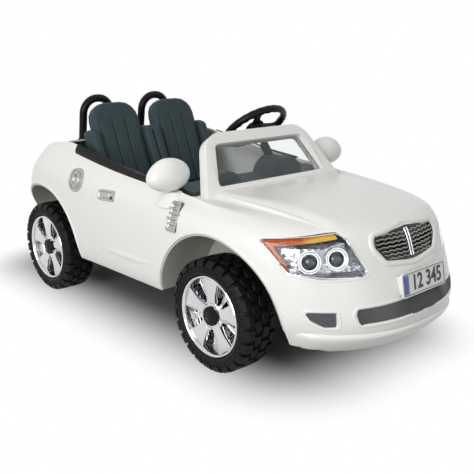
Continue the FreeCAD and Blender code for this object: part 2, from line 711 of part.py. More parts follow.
def make_body_shell():
    """Blow-moulded skin with its wheel, lamp, grille and trim openings."""
    cutters = arch_cutters()
    cutters.append(prism(GRILLE_CORNERS, GRILLE_ROUND, FRONT_VIEW))
    cutters.append(prism(LOWER_GRILLE_CORNERS, LOWER_GRILLE_ROUND, FRONT_VIEW))
    cutters.append(spot_disc(CAP_SPOT, float(Sizes.cap_radius) + GAP, -CUTTER, CUTTER))
    lamp = prism(LAMP_CORNERS, LAMP_ROUND, LAMP_VIEW)
    vent = prism(VENT_CORNERS, VENT_ROUND, FRONT_VIEW)
    tail_lamp = prism(TAIL_LAMP_CORNERS, LAMP_ROUND, REAR_VIEW)
    for shape in (lamp, vent, tail_lamp, handle_block(GAP, -CUTTER, CUTTER), gill_block(GAP, -CUTTER, CUTTER)):
        cutters += both_sides(shape)
    return node("body_shell", shaped("body_shell", skin_band(0, WALL).cut(cutters)))


def make_grilles():
    """Slatted grille, lower grille and fog vents of the nose."""
    recess = float(Sizes.trim_recess)
    root_depth = recess + float(Sizes.trim_depth)
    grille = filling(GRILLE_CORNERS, GRILLE_ROUND, FRONT_VIEW, recess, root_depth)
    inner_bar = prism(GRILLE_CORNERS, GRILLE_ROUND, FRONT_VIEW, -float(Sizes.grille_rim))
    slats = int(float(Sizes.grille_slats))
    pitch = float(Sizes.grille_span) / slats
    foot = min(up for _, up in GRILLE_CORNERS) + (GRILLE_CORNERS[3][1] - GRILLE_CORNERS[4][1])
    spine, half, height = (float(size) for size in (
        Sizes.grille_spine_half, Sizes.grille_slot_half, Sizes.grille_slot))
    for index in range(slats):
        middle = foot + pitch * (index + 0.5)
        for low in (-half, spine):
            slot = Part.makeBox(half - spine, REACH, height, VECTOR(low, -REACH, middle - height / 2))
            grille = grille.cut(slot.common(inner_bar))
    node("grille", shaped("grille", grille))
    lower = filling(LOWER_GRILLE_CORNERS, LOWER_GRILLE_ROUND, FRONT_VIEW, recess, root_depth)
    node("lower_grille", shaped("lower_grille", lower))
    pair("fog_vents", filling(VENT_CORNERS, VENT_ROUND, FRONT_VIEW, recess, root_depth))


def make_headlamps():
    """Lens, bowl, signal strip and ring reflectors of each headlamp."""
    recess, wall, depth = float(Sizes.lens_recess), float(Sizes.bowl_wall), float(Sizes.lamp_depth)
    behind_lens = recess + float(Sizes.lens_sheet)
    front = behind_lens + GAP
    pair("headlamp_lenses", filling(LAMP_CORNERS, LAMP_ROUND, LAMP_VIEW, recess, behind_lens))
    bowl = filling(LAMP_CORNERS, LAMP_ROUND, LAMP_VIEW, front, depth)
    hollow = filling(LAMP_CORNERS, LAMP_ROUND, LAMP_VIEW, front - PAST, depth - wall, GAP + wall)
    pair("headlamp_bowls", bowl.cut(hollow))
    signal_front = front + GAP
    signal_back = signal_front + float(Sizes.signal_sheet)
    pair("turn_signals", filling(SIGNAL_CORNERS, SIGNAL_ROUND, LAMP_VIEW, signal_front, signal_back))
    back = skin_band(depth - wall - float(Sizes.ring_depth), depth - wall - GAP)
    radius = float(Sizes.ring_radius)
    rings = []
    for across, up in RING_SPOTS:
        bore = Part.makeCylinder(radius - float(Sizes.ring_wall), REACH)
        tube = Part.makeCylinder(radius, REACH).cut(bore)
        tube.Placement = LAMP_VIEW.multiply(FreeCAD.Placement(VECTOR(across, up, 0), FreeCAD.Rotation()))
        rings += both_sides(tube.common(back))
    node("headlamp_rings", shaped("headlamp_rings", Part.makeCompound(rings)))


def rectangle(half_width, half_height):
    """Corners of a rectangle about the middle."""
    return [(-half_width, -half_height), (half_width, -half_height), (half_width, half_height),
            (-half_width, half_height)]


def make_plate():
    """Blank number plate on a block that follows the bumper."""
    front, height = NOSE_Y + Sizes.plate_setback, Sizes.lip_height + Sizes.plate_rise
    half_width, half_height = Sizes.plate_width / 2, Sizes.plate_height / 2
    plate_body = new_body("number_plate")
    face = outline(plate_body, "plate_face", "XZ_Plane", rectangle(half_width, half_height))
    plate = pad(plate_body, face, Sizes.plate_sheet, backwards=True)
    round_edges(plate_body, plate, Sizes.plate_corner,
                lambda edge: abs(edge.tangentAt(edge.FirstParameter).y) > 0.99)
    place(plate_body, 0, front, height, X_AXIS, -Sizes.plate_lean)
    node("number_plate", plate_body)
    block_body = new_body("plate_block")
    inset = Sizes.plate_block_inset
    rim = outline(block_body, "plate_block_face", "XZ_Plane",
                  rectangle(half_width - inset, half_height - inset), lift=-Sizes.plate_sheet)
    pad(block_body, rim, Sizes.plate_block_depth, backwards=True)
    place(block_body, 0, front, height, X_AXIS, -Sizes.plate_lean)
    node("plate_holder", cut("plate_holder", block_body, outside_core))


def make_fuel_cap():
    """Round filler cap with a raised middle."""
    radius, proud = float(Sizes.cap_radius), float(Sizes.cap_proud)
    floor = proud - float(Sizes.cap_groove)
    step = radius - float(Sizes.cap_rim) - float(Sizes.cap_step)
    cap = spot_disc(CAP_SPOT, radius, TRIM_ROOT, proud)
    groove = spot_disc(CAP_SPOT, radius - float(Sizes.cap_rim), floor, proud + PAST)
    button = spot_disc(CAP_SPOT, step, floor - PAST, proud + PAST)
    node("fuel_cap", shaped("fuel_cap", cap.cut(groove).fuse(button).removeSplitter()))


def make_side_trim():
    """Door handles, gills, belt strips and tail lamps."""
    grip_length = float(Sizes.handle_length) - 2 * float(Sizes.grip_inset)
    grip = spot_block(HANDLE_SPOT, grip_length, float(Sizes.grip_height), 0, float(Sizes.handle_proud),
                      float(Sizes.grip_corner), float(Sizes.handle_tilt))
    pair("door_handles", handle_block(0, TRIM_ROOT, TRIM_PROUD).fuse(grip).removeSplitter())
    gill = gill_block(0, TRIM_ROOT, TRIM_PROUD)
    fins, inset = int(float(Sizes.gill_fins)), float(Sizes.gill_fin_inset)
    length, width, sheet = float(Sizes.gill_length), float(Sizes.gill_width), float(Sizes.gill_fin_sheet)
    for index in range(fins):
        middle = (index + 0.5) * length / fins - length / 2
        fin = Part.makeBox(sheet, width - 2 * inset, float(Sizes.gill_fin_proud))
        at = FreeCAD.Placement(VECTOR(middle - sheet / 2, inset - width / 2, 0), FreeCAD.Rotation())
        fin.Placement = spot_placement(*GILL_SPOT, float(Sizes.gill_slant)).multiply(at)
        gill = gill.fuse(fin)
    pair("side_gills", gill.removeSplitter())
    strip = skin_band(-GAP - float(Sizes.belt_trim_sheet), -GAP)
    front, rear = float(DASH_Y + Sizes.belt_trim_front), float(DECK_Y - Sizes.belt_trim_rear)
    edge, sill = float(Sizes.body_width / 2 - Sizes.belt_trim_inset), float(Sizes.sill_height)
    window = Part.makeBox(edge, rear - front, float(Sizes.deck_height), VECTOR(-edge, front, sill))
    pair("belt_trims", strip.common(window))
    recess = float(Sizes.lens_recess)
    tail_back = recess + float(Sizes.tail_lamp_sheet)
    pair("tail_lamps", filling(TAIL_LAMP_CORNERS, LAMP_ROUND, REAR_VIEW, recess, tail_back))


# Floor, arches and running gear

def make_arch_liners():
    """Inner arches over the four wheels, with a gate for the axle and its drive."""
    radius, half_width = Sizes.arch_radius - Sizes.seat_gap, Sizes.body_width / 2
    inner = Sizes.liner_inner_x
    foot = AXLE_Z + Sizes.liner_foot
    gate_half = Sizes.gearbox_length / 2 + Sizes.gate_margin
    gate_top = AXLE_Z + Sizes.gearbox_height / 2 + Sizes.gate_headroom
    liners = []
    for side, sign in SIDES:
        low, high = span(sign, inner, half_width)
        room_low, room_high = span(sign, inner + Sizes.liner_sheet, half_width + PAST)
        across = (low - PAST, high + PAST)
        for end, y in (("front", FRONT_ARCH_Y), ("rear", REAR_AXLE_Y)):
            name = f"liner_{end}_{side}"
            drum = cylinder(f"{name}_drum", radius, high - low, "x", (low, y, AXLE_Z))
            room = cylinder(f"{name}_room", radius - Sizes.liner_sheet, room_high - room_low, "x",
                            (room_low, y, AXLE_Z))
            below = box(f"{name}_below", across, (y - radius, y + radius), (0, foot))
            gate = box(f"{name}_gate", across, (y - gate_half, y + gate_half), (0, gate_top))
            liners.append(common(name, cut(f"{name}_raw", drum, room, below, gate), wall_core))
    document.recompute()
    node("arch_liners", shaped("arch_liners", Part.makeCompound([liner.Shape for liner in liners])))


def pan_blocks():
    """Blocks that make up the floor pan."""
    low, top = Sizes.floor_height, FLOOR_TOP
    spine, wide, tunnel = Sizes.spine_half_width, Sizes.body_width / 2, Sizes.tunnel_half_width
    front_end = FRONT_ARCH_Y + Sizes.arch_radius + Sizes.floor_arch_gap
    rear_end = REAR_AXLE_Y - Sizes.arch_radius - Sizes.floor_arch_gap
    blocks = [
        box("floor_middle", (-wide, wide), (front_end, rear_end), (low, top)),
        box("floor_spine", (-spine, spine), (NOSE_Y, TAIL_Y), (low, top)),
        box("firewall", (-spine, spine), (DASH_Y, DASH_Y + Sizes.firewall_sheet), (low, DASH_FOOT)),
        box("tunnel", (-tunnel, tunnel), (LEVER_Y - Sizes.tunnel_front, LEVER_Y + Sizes.tunnel_rear),
            (low, top + Sizes.tunnel_height)),
    ]
    seat_inner = Sizes.driver_offset - Sizes.seat_width / 2 + Sizes.riser_inner_inset
    seat_outer = Sizes.driver_offset + Sizes.seat_width / 2 - Sizes.riser_outer_inset
    along = (SEAT_Y + Sizes.riser_setback, rear_end - Sizes.riser_rear_gap)
    for _, sign in SIDES:
        for inner in (seat_inner, seat_outer - Sizes.riser_sheet):
            blocks.append(box("riser", span(sign, inner, inner + Sizes.riser_sheet), along, (low, RISER_TOP)))
        saddle, reach = sign * Sizes.saddle_x, Sizes.saddle_reach
        blocks.append(box("saddle", (saddle - Sizes.saddle_half, saddle + Sizes.saddle_half),
                          (REAR_AXLE_Y - reach, REAR_AXLE_Y + reach), (AXLE_Z - Sizes.saddle_drop, top)))
        ear_low, ear_high = span(sign, Sizes.pedal_width / 2 + Sizes.ear_gap,
                                 Sizes.pedal_width / 2 + Sizes.ear_gap + Sizes.ear_sheet)
        blocks.append(box("pedal_ear", (PEDAL_X + ear_low, PEDAL_X + ear_high),
                          (PEDAL_Y - Sizes.ear_half, PEDAL_Y + Sizes.ear_half), (low, top + Sizes.ear_height)))
    foot_y = HUB_Y - Sizes.column_foot_at * RAKE_SINE
    foot_z = Sizes.hub_height - Sizes.column_foot_at * RAKE_COSINE
    half, sheet = Sizes.column_foot_half, Sizes.column_foot_sheet / 2
    blocks.append(box("column_foot", (Sizes.driver_offset - half, Sizes.driver_offset + half),
                      (foot_y - sheet, foot_y + sheet), (low, foot_z + Sizes.column_foot_rise)))
    return blocks


def make_chassis_pan():
    """Floor pan with its firewall, seat risers, tunnel, pedal ears and axle saddles."""
    low, top = Sizes.floor_height, FLOOR_TOP
    gate_half, bore = Sizes.link_gate_half, Sizes.running_gap
    gate = box("link_gate", (Sizes.driver_offset - gate_half, Sizes.driver_offset + gate_half),
               (TIE_Y - Sizes.link_gate_front, TIE_Y + Sizes.link_gate_rear), (low - PAST, top + PAST))
    column_hole = cylinder("column_hole", Sizes.column_radius + Sizes.seat_gap, Sizes.column_end)
    steering_place(column_hole, -Sizes.column_end - Sizes.column_start)
    axle_half = Sizes.saddle_x + Sizes.saddle_half + PAST
    axle_hole = cylinder("axle_hole", Sizes.axle_radius + bore, axle_half * 2, "x",
                         (-axle_half, REAR_AXLE_Y, AXLE_Z))
    pedal_half = Sizes.pedal_width / 2 + Sizes.ear_gap + Sizes.ear_sheet + PAST
    pedal_hole = cylinder("pedal_hole", Sizes.pedal_pin_radius + bore, pedal_half * 2, "x",
                          (PEDAL_X - pedal_half, PEDAL_Y, PEDAL_Z))
    slot_half, slot_reach = Sizes.lever_slot_half, Sizes.lever_slot_reach
    lever_slot = box("lever_slot", (-slot_half, slot_half), (LEVER_Y - slot_reach, LEVER_Y + slot_reach),
                     (LEVER_Z - Sizes.lever_slot_drop, top + Sizes.tunnel_height + PAST))
    tunnel = Sizes.tunnel_half_width + PAST
    lever_hole = cylinder("lever_hole", Sizes.lever_pin_radius + bore, tunnel * 2, "x",
                          (-tunnel, LEVER_Y, LEVER_Z))
    raw = cut("pan_raw", fuse("pan_solid", *pan_blocks()),
              gate, column_hole, axle_hole, pedal_hole, lever_slot, lever_hole)
    node("chassis_pan", common("chassis_pan", raw, floor_core))


def steering_place(piece, along):
    """Puts a piece on the steering axis, at a distance up from the hub of the steering wheel."""
    return place(piece, Sizes.driver_offset, HUB_Y + along * RAKE_SINE, Sizes.hub_height + along * RAKE_COSINE,
                 X_AXIS, -Sizes.column_rake)


FORK_CLEAR = Sizes.knuckle_radius + Sizes.fork_plate


def make_front_axle():
    """Front beam with a fork at each end for the kingpins."""
    half, plate = Sizes.beam_width / 2, Sizes.fork_plate
    sides = (FRONT_AXLE_Y - half, FRONT_AXLE_Y + half)
    fork_in = KINGPIN_X - Sizes.fork_root
    web_out = fork_in + Sizes.web_sheet
    fork_out = KINGPIN_X + Sizes.fork_overhang
    top, foot = AXLE_Z + FORK_CLEAR, AXLE_Z - FORK_CLEAR
    pieces = [box("beam", (-web_out, web_out), sides,
                  (Sizes.floor_height - Sizes.beam_height, Sizes.floor_height))]
    holes = []
    for _, sign in SIDES:
        pieces.append(box("web", span(sign, fork_in, web_out), sides, (foot - plate, top + plate)))
        pieces.append(box("fork_top", span(sign, fork_in, fork_out), sides, (top, top + plate)))
        pieces.append(box("fork_foot", span(sign, fork_in, fork_out), sides, (foot - plate, foot)))
        holes.append(cylinder("kingpin_hole", Sizes.kingpin_radius + Sizes.running_gap, FORK_CLEAR * 4, "z",
                              (sign * KINGPIN_X, FRONT_AXLE_Y, AXLE_Z - FORK_CLEAR * 2)))
    room = Sizes.spine_half_width + PAST
    pan_room = box("pan_room", (-room, room), (sides[0] - PAST, sides[1] + PAST),
                   (Sizes.floor_height, Sizes.hood_height))
    node("front_axle_beam", cut("front_axle_beam", fuse("beam_solid", *pieces), pan_room, *holes))


def make_knuckle(side, sign):
    """Steering knuckle: kingpin barrel, stub axle and slotted arm."""
    name = f"knuckle_{side}"
    x, plate = sign * KINGPIN_X, Sizes.fork_plate
    height = FORK_CLEAR - Sizes.seat_gap
    pin_half = FORK_CLEAR + plate + PAST * 2
    collar = span(sign, KINGPIN_X, WHEEL_X - HUB_IN - Sizes.seat_gap)
    stub = span(sign, KINGPIN_X, WHEEL_X + HUB_OUT - PAST)
    arm_half, arm_end, arm_sheet = Sizes.arm_half_width, TIE_Y + Sizes.arm_tail, Sizes.arm_sheet / 2
    play = Sizes.link_pin_radius + Sizes.link_play
    arm = box(f"{name}_arm", (x - arm_half, x + arm_half), (FRONT_AXLE_Y, arm_end),
              (AXLE_Z - arm_sheet, AXLE_Z + arm_sheet))
    slot = box(f"{name}_slot", (x - play, x + play), (TIE_Y - play, arm_end - plate),
               (AXLE_Z - arm_sheet - PAST, AXLE_Z + arm_sheet + PAST))
    node(name, fuse(
        name,
        cylinder(f"{name}_barrel", Sizes.knuckle_radius, height * 2, "z", (x, FRONT_AXLE_Y, AXLE_Z - height)),
        cylinder(f"{name}_pin", Sizes.kingpin_radius, pin_half * 2, "z", (x, FRONT_AXLE_Y, AXLE_Z - pin_half)),
        cylinder(f"{name}_collar", Sizes.axle_radius + Sizes.collar_sheet, collar[1] - collar[0], "x",
                 (collar[0], FRONT_AXLE_Y, AXLE_Z)),
        cylinder(f"{name}_stub", Sizes.axle_radius, stub[1] - stub[0], "x", (stub[0], FRONT_AXLE_Y, AXLE_Z)),
        cut(f"{name}_slotted", arm, slot)))


def make_tie_rod():
    """Tie rod with a headed pin for each knuckle and a fork for the crank of the steering shaft."""
    top = AXLE_Z - Sizes.tie_bar_drop
    low, half = top - Sizes.tie_bar_sheet, Sizes.tie_bar_width / 2
    reach = KINGPIN_X + half + PAST
    head = AXLE_Z + Sizes.arm_sheet / 2 + Sizes.seat_gap
    finger_in = Sizes.crank_pin_radius + Sizes.crank_play
    pieces = [box("tie_bar", (-reach, reach), (TIE_Y - half, TIE_Y + half), (low, top))]
    for _, sign in SIDES:
        x = sign * KINGPIN_X
        pieces.append(cylinder("tie_pin", Sizes.link_pin_radius, head + Sizes.tie_head - top, "z",
                               (x, TIE_Y, top)))
        pieces.append(cylinder("tie_head", Sizes.link_pin_radius + Sizes.tie_head_rim, Sizes.tie_head, "z",
                               (x, TIE_Y, head)))
        finger_low, finger_high = span(sign, finger_in, finger_in + Sizes.finger_sheet)
        pieces.append(box("tie_finger", (Sizes.driver_offset + finger_low, Sizes.driver_offset + finger_high),
                          (TIE_Y - Sizes.finger_front, TIE_Y + Sizes.finger_rear),
                          (low, top + Sizes.finger_rise)))
    node("tie_rod", fuse("tie_rod", *pieces))


def make_rear_drive():
    """Rear axle with a gearbox and a motor on each side."""
    axle_end = WHEEL_X + HUB_OUT - PAST
    node("rear_axle", cylinder("rear_axle", Sizes.axle_radius, axle_end * 2, "x",
                               (-axle_end, REAR_AXLE_Y, AXLE_Z)))
    start, width = Sizes.spine_half_width + Sizes.seat_gap, Sizes.gearbox_width
    rear = REAR_AXLE_Y + Sizes.gearbox_length / 2 - Sizes.gearbox_lead
    front = rear - Sizes.gearbox_length
    half = Sizes.gearbox_height / 2
    cases, motors = [], []
    for side, sign in SIDES:
        across = span(sign, start, start + width)
        case = box(f"gearbox_case_{side}", across, (front, rear), (AXLE_Z - half, AXLE_Z + half))
        bore = cylinder(f"gearbox_bore_{side}", Sizes.axle_radius + Sizes.running_gap, axle_end * 2, "x",
                        (-axle_end, REAR_AXLE_Y, AXLE_Z))
        cases.append(cut(f"gearbox_{side}", case, bore))
        motors.append(cylinder(f"motor_{side}", Sizes.motor_radius, Sizes.motor_length, "y",
                               (sign * (start + width / 2), front - Sizes.motor_length, AXLE_Z)))
    document.recompute()
    node("gearboxes", shaped("gearboxes", Part.makeCompound([case.Shape for case in cases])))
    node("motors", shaped("motors", Part.makeCompound([motor.Shape for motor in motors])))


WHEEL_SPOKE_TURNS = (90, 210, 330)


def make_steering():
    """Steering shaft with its crank, column tube, steering wheel and horn button."""
    hub_top, hub_foot = Sizes.wheel_hub_top, Sizes.wheel_hub_foot
    crank_half, crank_sheet = Sizes.crank_half_width, Sizes.crank_sheet
    rod = cylinder("shaft_rod", Sizes.shaft_radius, SHAFT_LENGTH - hub_foot + Sizes.shaft_socket, "z",
                   (0, 0, -SHAFT_LENGTH))
    crank = box("shaft_crank", (-crank_half, crank_half), (0, Sizes.crank_reach + Sizes.crank_tail),
                (-SHAFT_LENGTH, crank_sheet - SHAFT_LENGTH))
    pin = cylinder("shaft_pin", Sizes.crank_pin_radius, Sizes.crank_pin_length + crank_sheet / 2, "z",
                   (0, Sizes.crank_reach, -SHAFT_LENGTH - Sizes.crank_pin_length))
    node("steering_shaft", steering_place(fuse("steering_shaft", rod, crank, pin), 0))
    tube_length = Sizes.column_end - Sizes.column_start
    tube = cylinder("column_outer", Sizes.column_radius, tube_length, "z", (0, 0, -Sizes.column_end))
    bore = cylinder("column_bore", Sizes.shaft_radius + Sizes.running_gap, tube_length + PAST * 2, "z",
                    (0, 0, -Sizes.column_end - PAST))
    node("steering_column_tube", steering_place(cut("steering_column_tube", tube, bore), 0))
    rim = document.addObject("Part::Torus", "wheel_rim")
    bind(rim, "Radius1", Sizes.wheel_rim_radius)
    bind(rim, "Radius2", Sizes.wheel_grip_radius)
    pieces = [rim, cylinder("wheel_hub", Sizes.wheel_hub_radius, hub_top + hub_foot, "z", (0, 0, -hub_foot))]
    for turn in WHEEL_SPOKE_TURNS:
        blade = box("wheel_blade", (Sizes.shaft_radius, Sizes.wheel_rim_radius),
                    (-Sizes.wheel_spoke_half, Sizes.wheel_spoke_half), (-Sizes.wheel_spoke_sheet, 0))
        spoke = document.addObject("Part::Compound", "wheel_spoke")
        spoke.Links = [blade]
        pieces.append(place(spoke, axis=Z_AXIS, angle=turn))
    socket = cylinder("wheel_socket", Sizes.shaft_radius, Sizes.shaft_socket, "z", (0, 0, -hub_foot))
    horn_foot = hub_top + Sizes.horn_proud - Sizes.horn_height
    well_foot = horn_foot - Sizes.horn_travel - Sizes.press_slack
    well = cylinder("horn_well", Sizes.horn_radius + Sizes.seat_gap, hub_top - well_foot + PAST, "z",
                    (0, 0, well_foot))
    node("steering_wheel", steering_place(cut("steering_wheel", fuse("wheel_solid", *pieces), socket, well), 0))
    node("horn_button", steering_place(cylinder("horn_button", Sizes.horn_radius, Sizes.horn_height), horn_foot))


# Wheels

def make_wheels():
    """Tyre, rim and hub cap of the four wheels, each turned from one profile."""
    tyre, rim, cap = tyre_body(), rim_body(), cap_body()
    document.recompute()
    for end, axle_y in (("front", FRONT_AXLE_Y), ("rear", REAR_AXLE_Y)):
        for side, sign in SIDES:
            for kind, master in (("tyre", tyre), ("rim", rim), ("hub_cap", cap)):
                name = f"{kind}_{end}_{side}"
                piece = shaped(name, master.Shape.copy())
                place(piece, sign * WHEEL_X, axle_y, AXLE_Z, Z_AXIS, 0 if sign > 0 else 180)
                node(name, piece)


BEAD_RISE = 9
SHOULDER_DROP = 18
SHOULDER_RUN = 16
SHOULDER_STEP = 6
CENTRE_GROOVE = (2, 4, 10, 12)
TREAD_SLOT_FROM = 14


def tyre_body():
    """Chunky tyre: a turned ring with two grooves and staggered slots across both shoulders."""
    owner = new_body("tyre_master")
    half, radius = Sizes.tyre_width / 2, Sizes.tyre_radius
    bead, groove = Sizes.rim_radius, radius - Sizes.tread_depth
    crown_in, floor_in, floor_out, crown_out = CENTRE_GROOVE
    inner_half = [
        (Sizes.hub_inset - half, bead), (-half, bead + BEAD_RISE), (-half, radius - SHOULDER_DROP),
        (SHOULDER_STEP - half, radius - SHOULDER_STEP), (SHOULDER_RUN - half, radius),
        (-crown_out, radius), (-floor_out, groove), (-floor_in, groove), (-crown_in, radius)]
    outer_half = [(-as_length(x), y) for x, y in reversed(inner_half)]
    revolve(owner, outline(owner, "tyre_profile", "XY_Plane", inner_half + outer_half))
    slot_half, far = Sizes.tread_slot / 2, half + Sizes.tread_slot
    cuts = []
    for name, sign, middle in (("outer", 1, 0), ("inner", -1, slot_half)):
        near_x, far_x = span(sign, TREAD_SLOT_FROM, far)
        slot = outline(owner, f"tread_{name}", "XZ_Plane", [
            (near_x, middle - slot_half), (far_x, middle - slot_half),
            (far_x, middle + slot_half), (near_x, middle + slot_half)], lift=-groove)
        cuts.append(pocket(owner, slot, Sizes.tread_depth * 5))
    document.recompute()
    repeat_round(owner, cuts, Sizes.tread_blocks)
    return owner


WINDOW_FROM_HUB = 13
WINDOW_FROM_SEAT = 19.7
WINDOW_SHOULDER = 5
WINDOW_HALF_WIDTHS = (9, 25, 13)


def rim_body():
    """Five-spoke rim: a turned dish with windows."""
    owner = new_body("rim_master")
    half, lip = Sizes.tyre_width / 2, Sizes.rim_lip
    seat, bore = Sizes.rim_radius - Sizes.seat_gap, Sizes.axle_radius + Sizes.running_gap
    dish = half - Sizes.dish_recess
    hub, boss, back = Sizes.hub_radius, Sizes.boss_radius, dish - Sizes.dish_sheet
    revolve(owner, outline(owner, "rim_profile", "XY_Plane", [
        (lip - half, seat), (half, seat), (half, seat - lip), (dish + Sizes.throat_run, seat - Sizes.throat_drop),
        (dish, hub + Sizes.dish_foot), (HUB_OUT, hub + Sizes.hub_step), (HUB_OUT, bore), (-HUB_IN, bore),
        (-HUB_IN, boss), (back - Sizes.throat_run, boss), (back, seat - Sizes.dish_neck),
        (lip - half, seat - lip - PAST)]))
    inner, outer = hub + WINDOW_FROM_HUB, seat - WINDOW_FROM_SEAT
    narrow, wide, end = WINDOW_HALF_WIDTHS
    shoulder = outer - WINDOW_SHOULDER
    window = outline(owner, "rim_window", "YZ_Plane", [
        (inner, -narrow), (shoulder, -wide), (outer, -end), (outer, end), (shoulder, wide), (inner, narrow)])
    opened = pocket(owner, window, Sizes.tyre_width * 2, midplane=True)
    document.recompute()
    repeat_round(owner, [opened], Sizes.spokes)
    return owner


CAP_SIDE = 7
CAP_SHOULDER = 11
CAP_CROWN = 13


def cap_body():
    """Domed hub cap on the rim's boss."""
    owner = new_body("cap_master")
    radius = Sizes.hub_radius
    revolve(owner, outline(owner, "cap_profile", "XY_Plane", [
        (HUB_OUT, 0), (HUB_OUT, radius), (HUB_OUT + CAP_SIDE, radius),
        (HUB_OUT + CAP_SHOULDER, radius - Sizes.rim_lip), (HUB_OUT + CAP_CROWN, 0)]))
    return owner


# Cockpit

def seat_profiles():
    """Side outlines of a seat's middle and of its bolsters."""
    foot, front, back = RISER_TOP, SEAT_Y, SEAT_BACK_Y
    run = sine(Sizes.seat_back_lean) / cosine(Sizes.seat_back_lean)
    top, crown = foot + Sizes.cushion_height, foot + Sizes.seat_back_rise
    thick, soft = Sizes.seat_back_thickness, Sizes.cushion_round
    crown_y = back + (crown - top) * run
    main = [
        (front, foot), (front - soft / 3, top - soft), (front + soft, top), (back, top - soft / 2),
        (crown_y, crown - soft * 2 / 3), (crown_y + thick / 2, crown), (crown_y + thick, crown - soft),
        (back + thick, foot)]
    lift, soft = Sizes.bolster_lift, Sizes.bolster_round
    wing_front, wing_top = front + Sizes.bolster_inset, top + Sizes.bolster_lift
    shoulder = foot + Sizes.bolster_rise
    wing = [
        (wing_front, foot), (wing_front, wing_top - soft), (wing_front + soft * 2, wing_top),
        (back - lift, wing_top), (back - lift + (shoulder - wing_top) * run, shoulder),
        (back + (shoulder - top) * run + thick, shoulder), (back + thick, foot)]
    return main, wing


def make_seats():
    """Two hard bucket seats, each a side profile between raised bolsters."""
    main, wing = seat_profiles()
    inner, bolster = Sizes.seat_width / 2 - Sizes.seat_bolster, Sizes.seat_bolster
    crown_foot = float(RISER_TOP + Sizes.seat_back_rise - Sizes.bolster_lift)
    for side, sign in SIDES:
        name = f"seat_{side}"
        owner = new_body(name)
        pad(owner, outline(owner, f"{name}_main", "YZ_Plane", main), inner * 2, midplane=True)
        pad(owner, outline(owner, f"{name}_wing_a", "YZ_Plane", wing, lift=inner), bolster)
        last = pad(owner, outline(owner, f"{name}_wing_b", "YZ_Plane", wing, lift=-inner), bolster, backwards=True)
        round_edges(owner, last, Sizes.crown_radius, lambda edge: is_crown_corner(edge, crown_foot))
        place(owner, sign * Sizes.driver_offset)
        node(name, owner)


def is_crown_corner(edge, crown_foot):
    """True for the short edges at the top corners of a seat back."""
    return all(vertex.Z > crown_foot for vertex in edge.Vertexes) and not runs_across(edge)


def runs_across(edge):
    """True for an edge whose ends lie apart across the car."""
    return abs(edge.Vertexes[0].X - edge.Vertexes[-1].X) > 0.1


DASH_NOSE = (20, 12)
DASH_BROW = 38
DASH_LIP = 8
DASH_KNEE = 70


def make_dashboard():
    """Dashboard with a mound over the steering column and a pod before the passenger."""
    owner = new_body("dash_block")
    front, rear, foot, top = DASH_Y, DASH_REAR_Y, DASH_FOOT, DASH_TOP
    nose_drop, nose_run = DASH_NOSE
    profile = outline(owner, "dash_profile", "YZ_Plane", [
        (front, foot), (front, top - nose_drop), (front + nose_run, top - nose_run), (rear - DASH_BROW, top),
        (rear, top - DASH_LIP), (rear - DASH_LIP, top - DASH_KNEE), (rear - Sizes.dash_undercut, foot)])
    half_width = Sizes.body_width / 2 - Sizes.dash_inset
    block = pad(owner, profile, half_width * 2, midplane=True)
    front_y = float(front)
    round_edges(owner, block, Sizes.dash_corner, lambda edge: is_front_corner(edge, front_y))
    offset, mound_y = Sizes.driver_offset, front + Sizes.mound_setback
    mound = cylinder("dash_mound", Sizes.mound_radius, Sizes.mound_length, "y",
                     (offset, mound_y, top - Sizes.mound_drop))
    pod = cylinder("dash_pod", Sizes.pod_radius, Sizes.pod_length, "y", (-offset, mound_y, top - Sizes.pod_drop))
    below = box("dash_below", (-half_width, half_width), (front, rear), (0, foot))
    column = cylinder("dash_column", Sizes.column_radius + Sizes.seat_gap, Sizes.column_end)
    steering_place(column, -Sizes.column_end)
    button_from = rear - Sizes.control_proud - Sizes.button_length
    button_hole = cylinder("dash_button_hole", Sizes.button_radius + Sizes.seat_gap,
                           Sizes.button_length + Sizes.button_room * 2, "y",
                           (Sizes.button_x, button_from - Sizes.button_room, BUTTON_Z))
    socket_from = rear - Sizes.control_proud - Sizes.socket_length
    socket_hole = cylinder("dash_socket_hole", Sizes.socket_radius + Sizes.seat_gap, Sizes.socket_length * 2, "y",
                           (-Sizes.button_x, socket_from - PAST, BUTTON_Z))
    solid = fuse("dash_solid", owner, mound, pod)
    node("dashboard", cut("dashboard", solid, below, column, button_hole, socket_hole))
    node("power_button", cylinder("power_button", Sizes.button_radius, Sizes.button_length, "y",
                                  (Sizes.button_x, button_from, BUTTON_Z)))
    ring = cylinder("socket_ring", Sizes.socket_radius, Sizes.socket_length, "y",
                    (-Sizes.button_x, socket_from, BUTTON_Z))
    bore = cylinder("socket_hollow", Sizes.socket_bore, Sizes.socket_depth + PAST, "y",
                    (-Sizes.button_x, rear - Sizes.control_proud - Sizes.socket_depth, BUTTON_Z))
    node("charge_socket", cut("charge_socket", ring, bore))


def is_front_corner(edge, front_y):
    """True for the upright edges at the front ends of the dashboard."""
    return all(abs(vertex.Y - front_y) < 0.1 for vertex in edge.Vertexes) and not runs_across(edge)


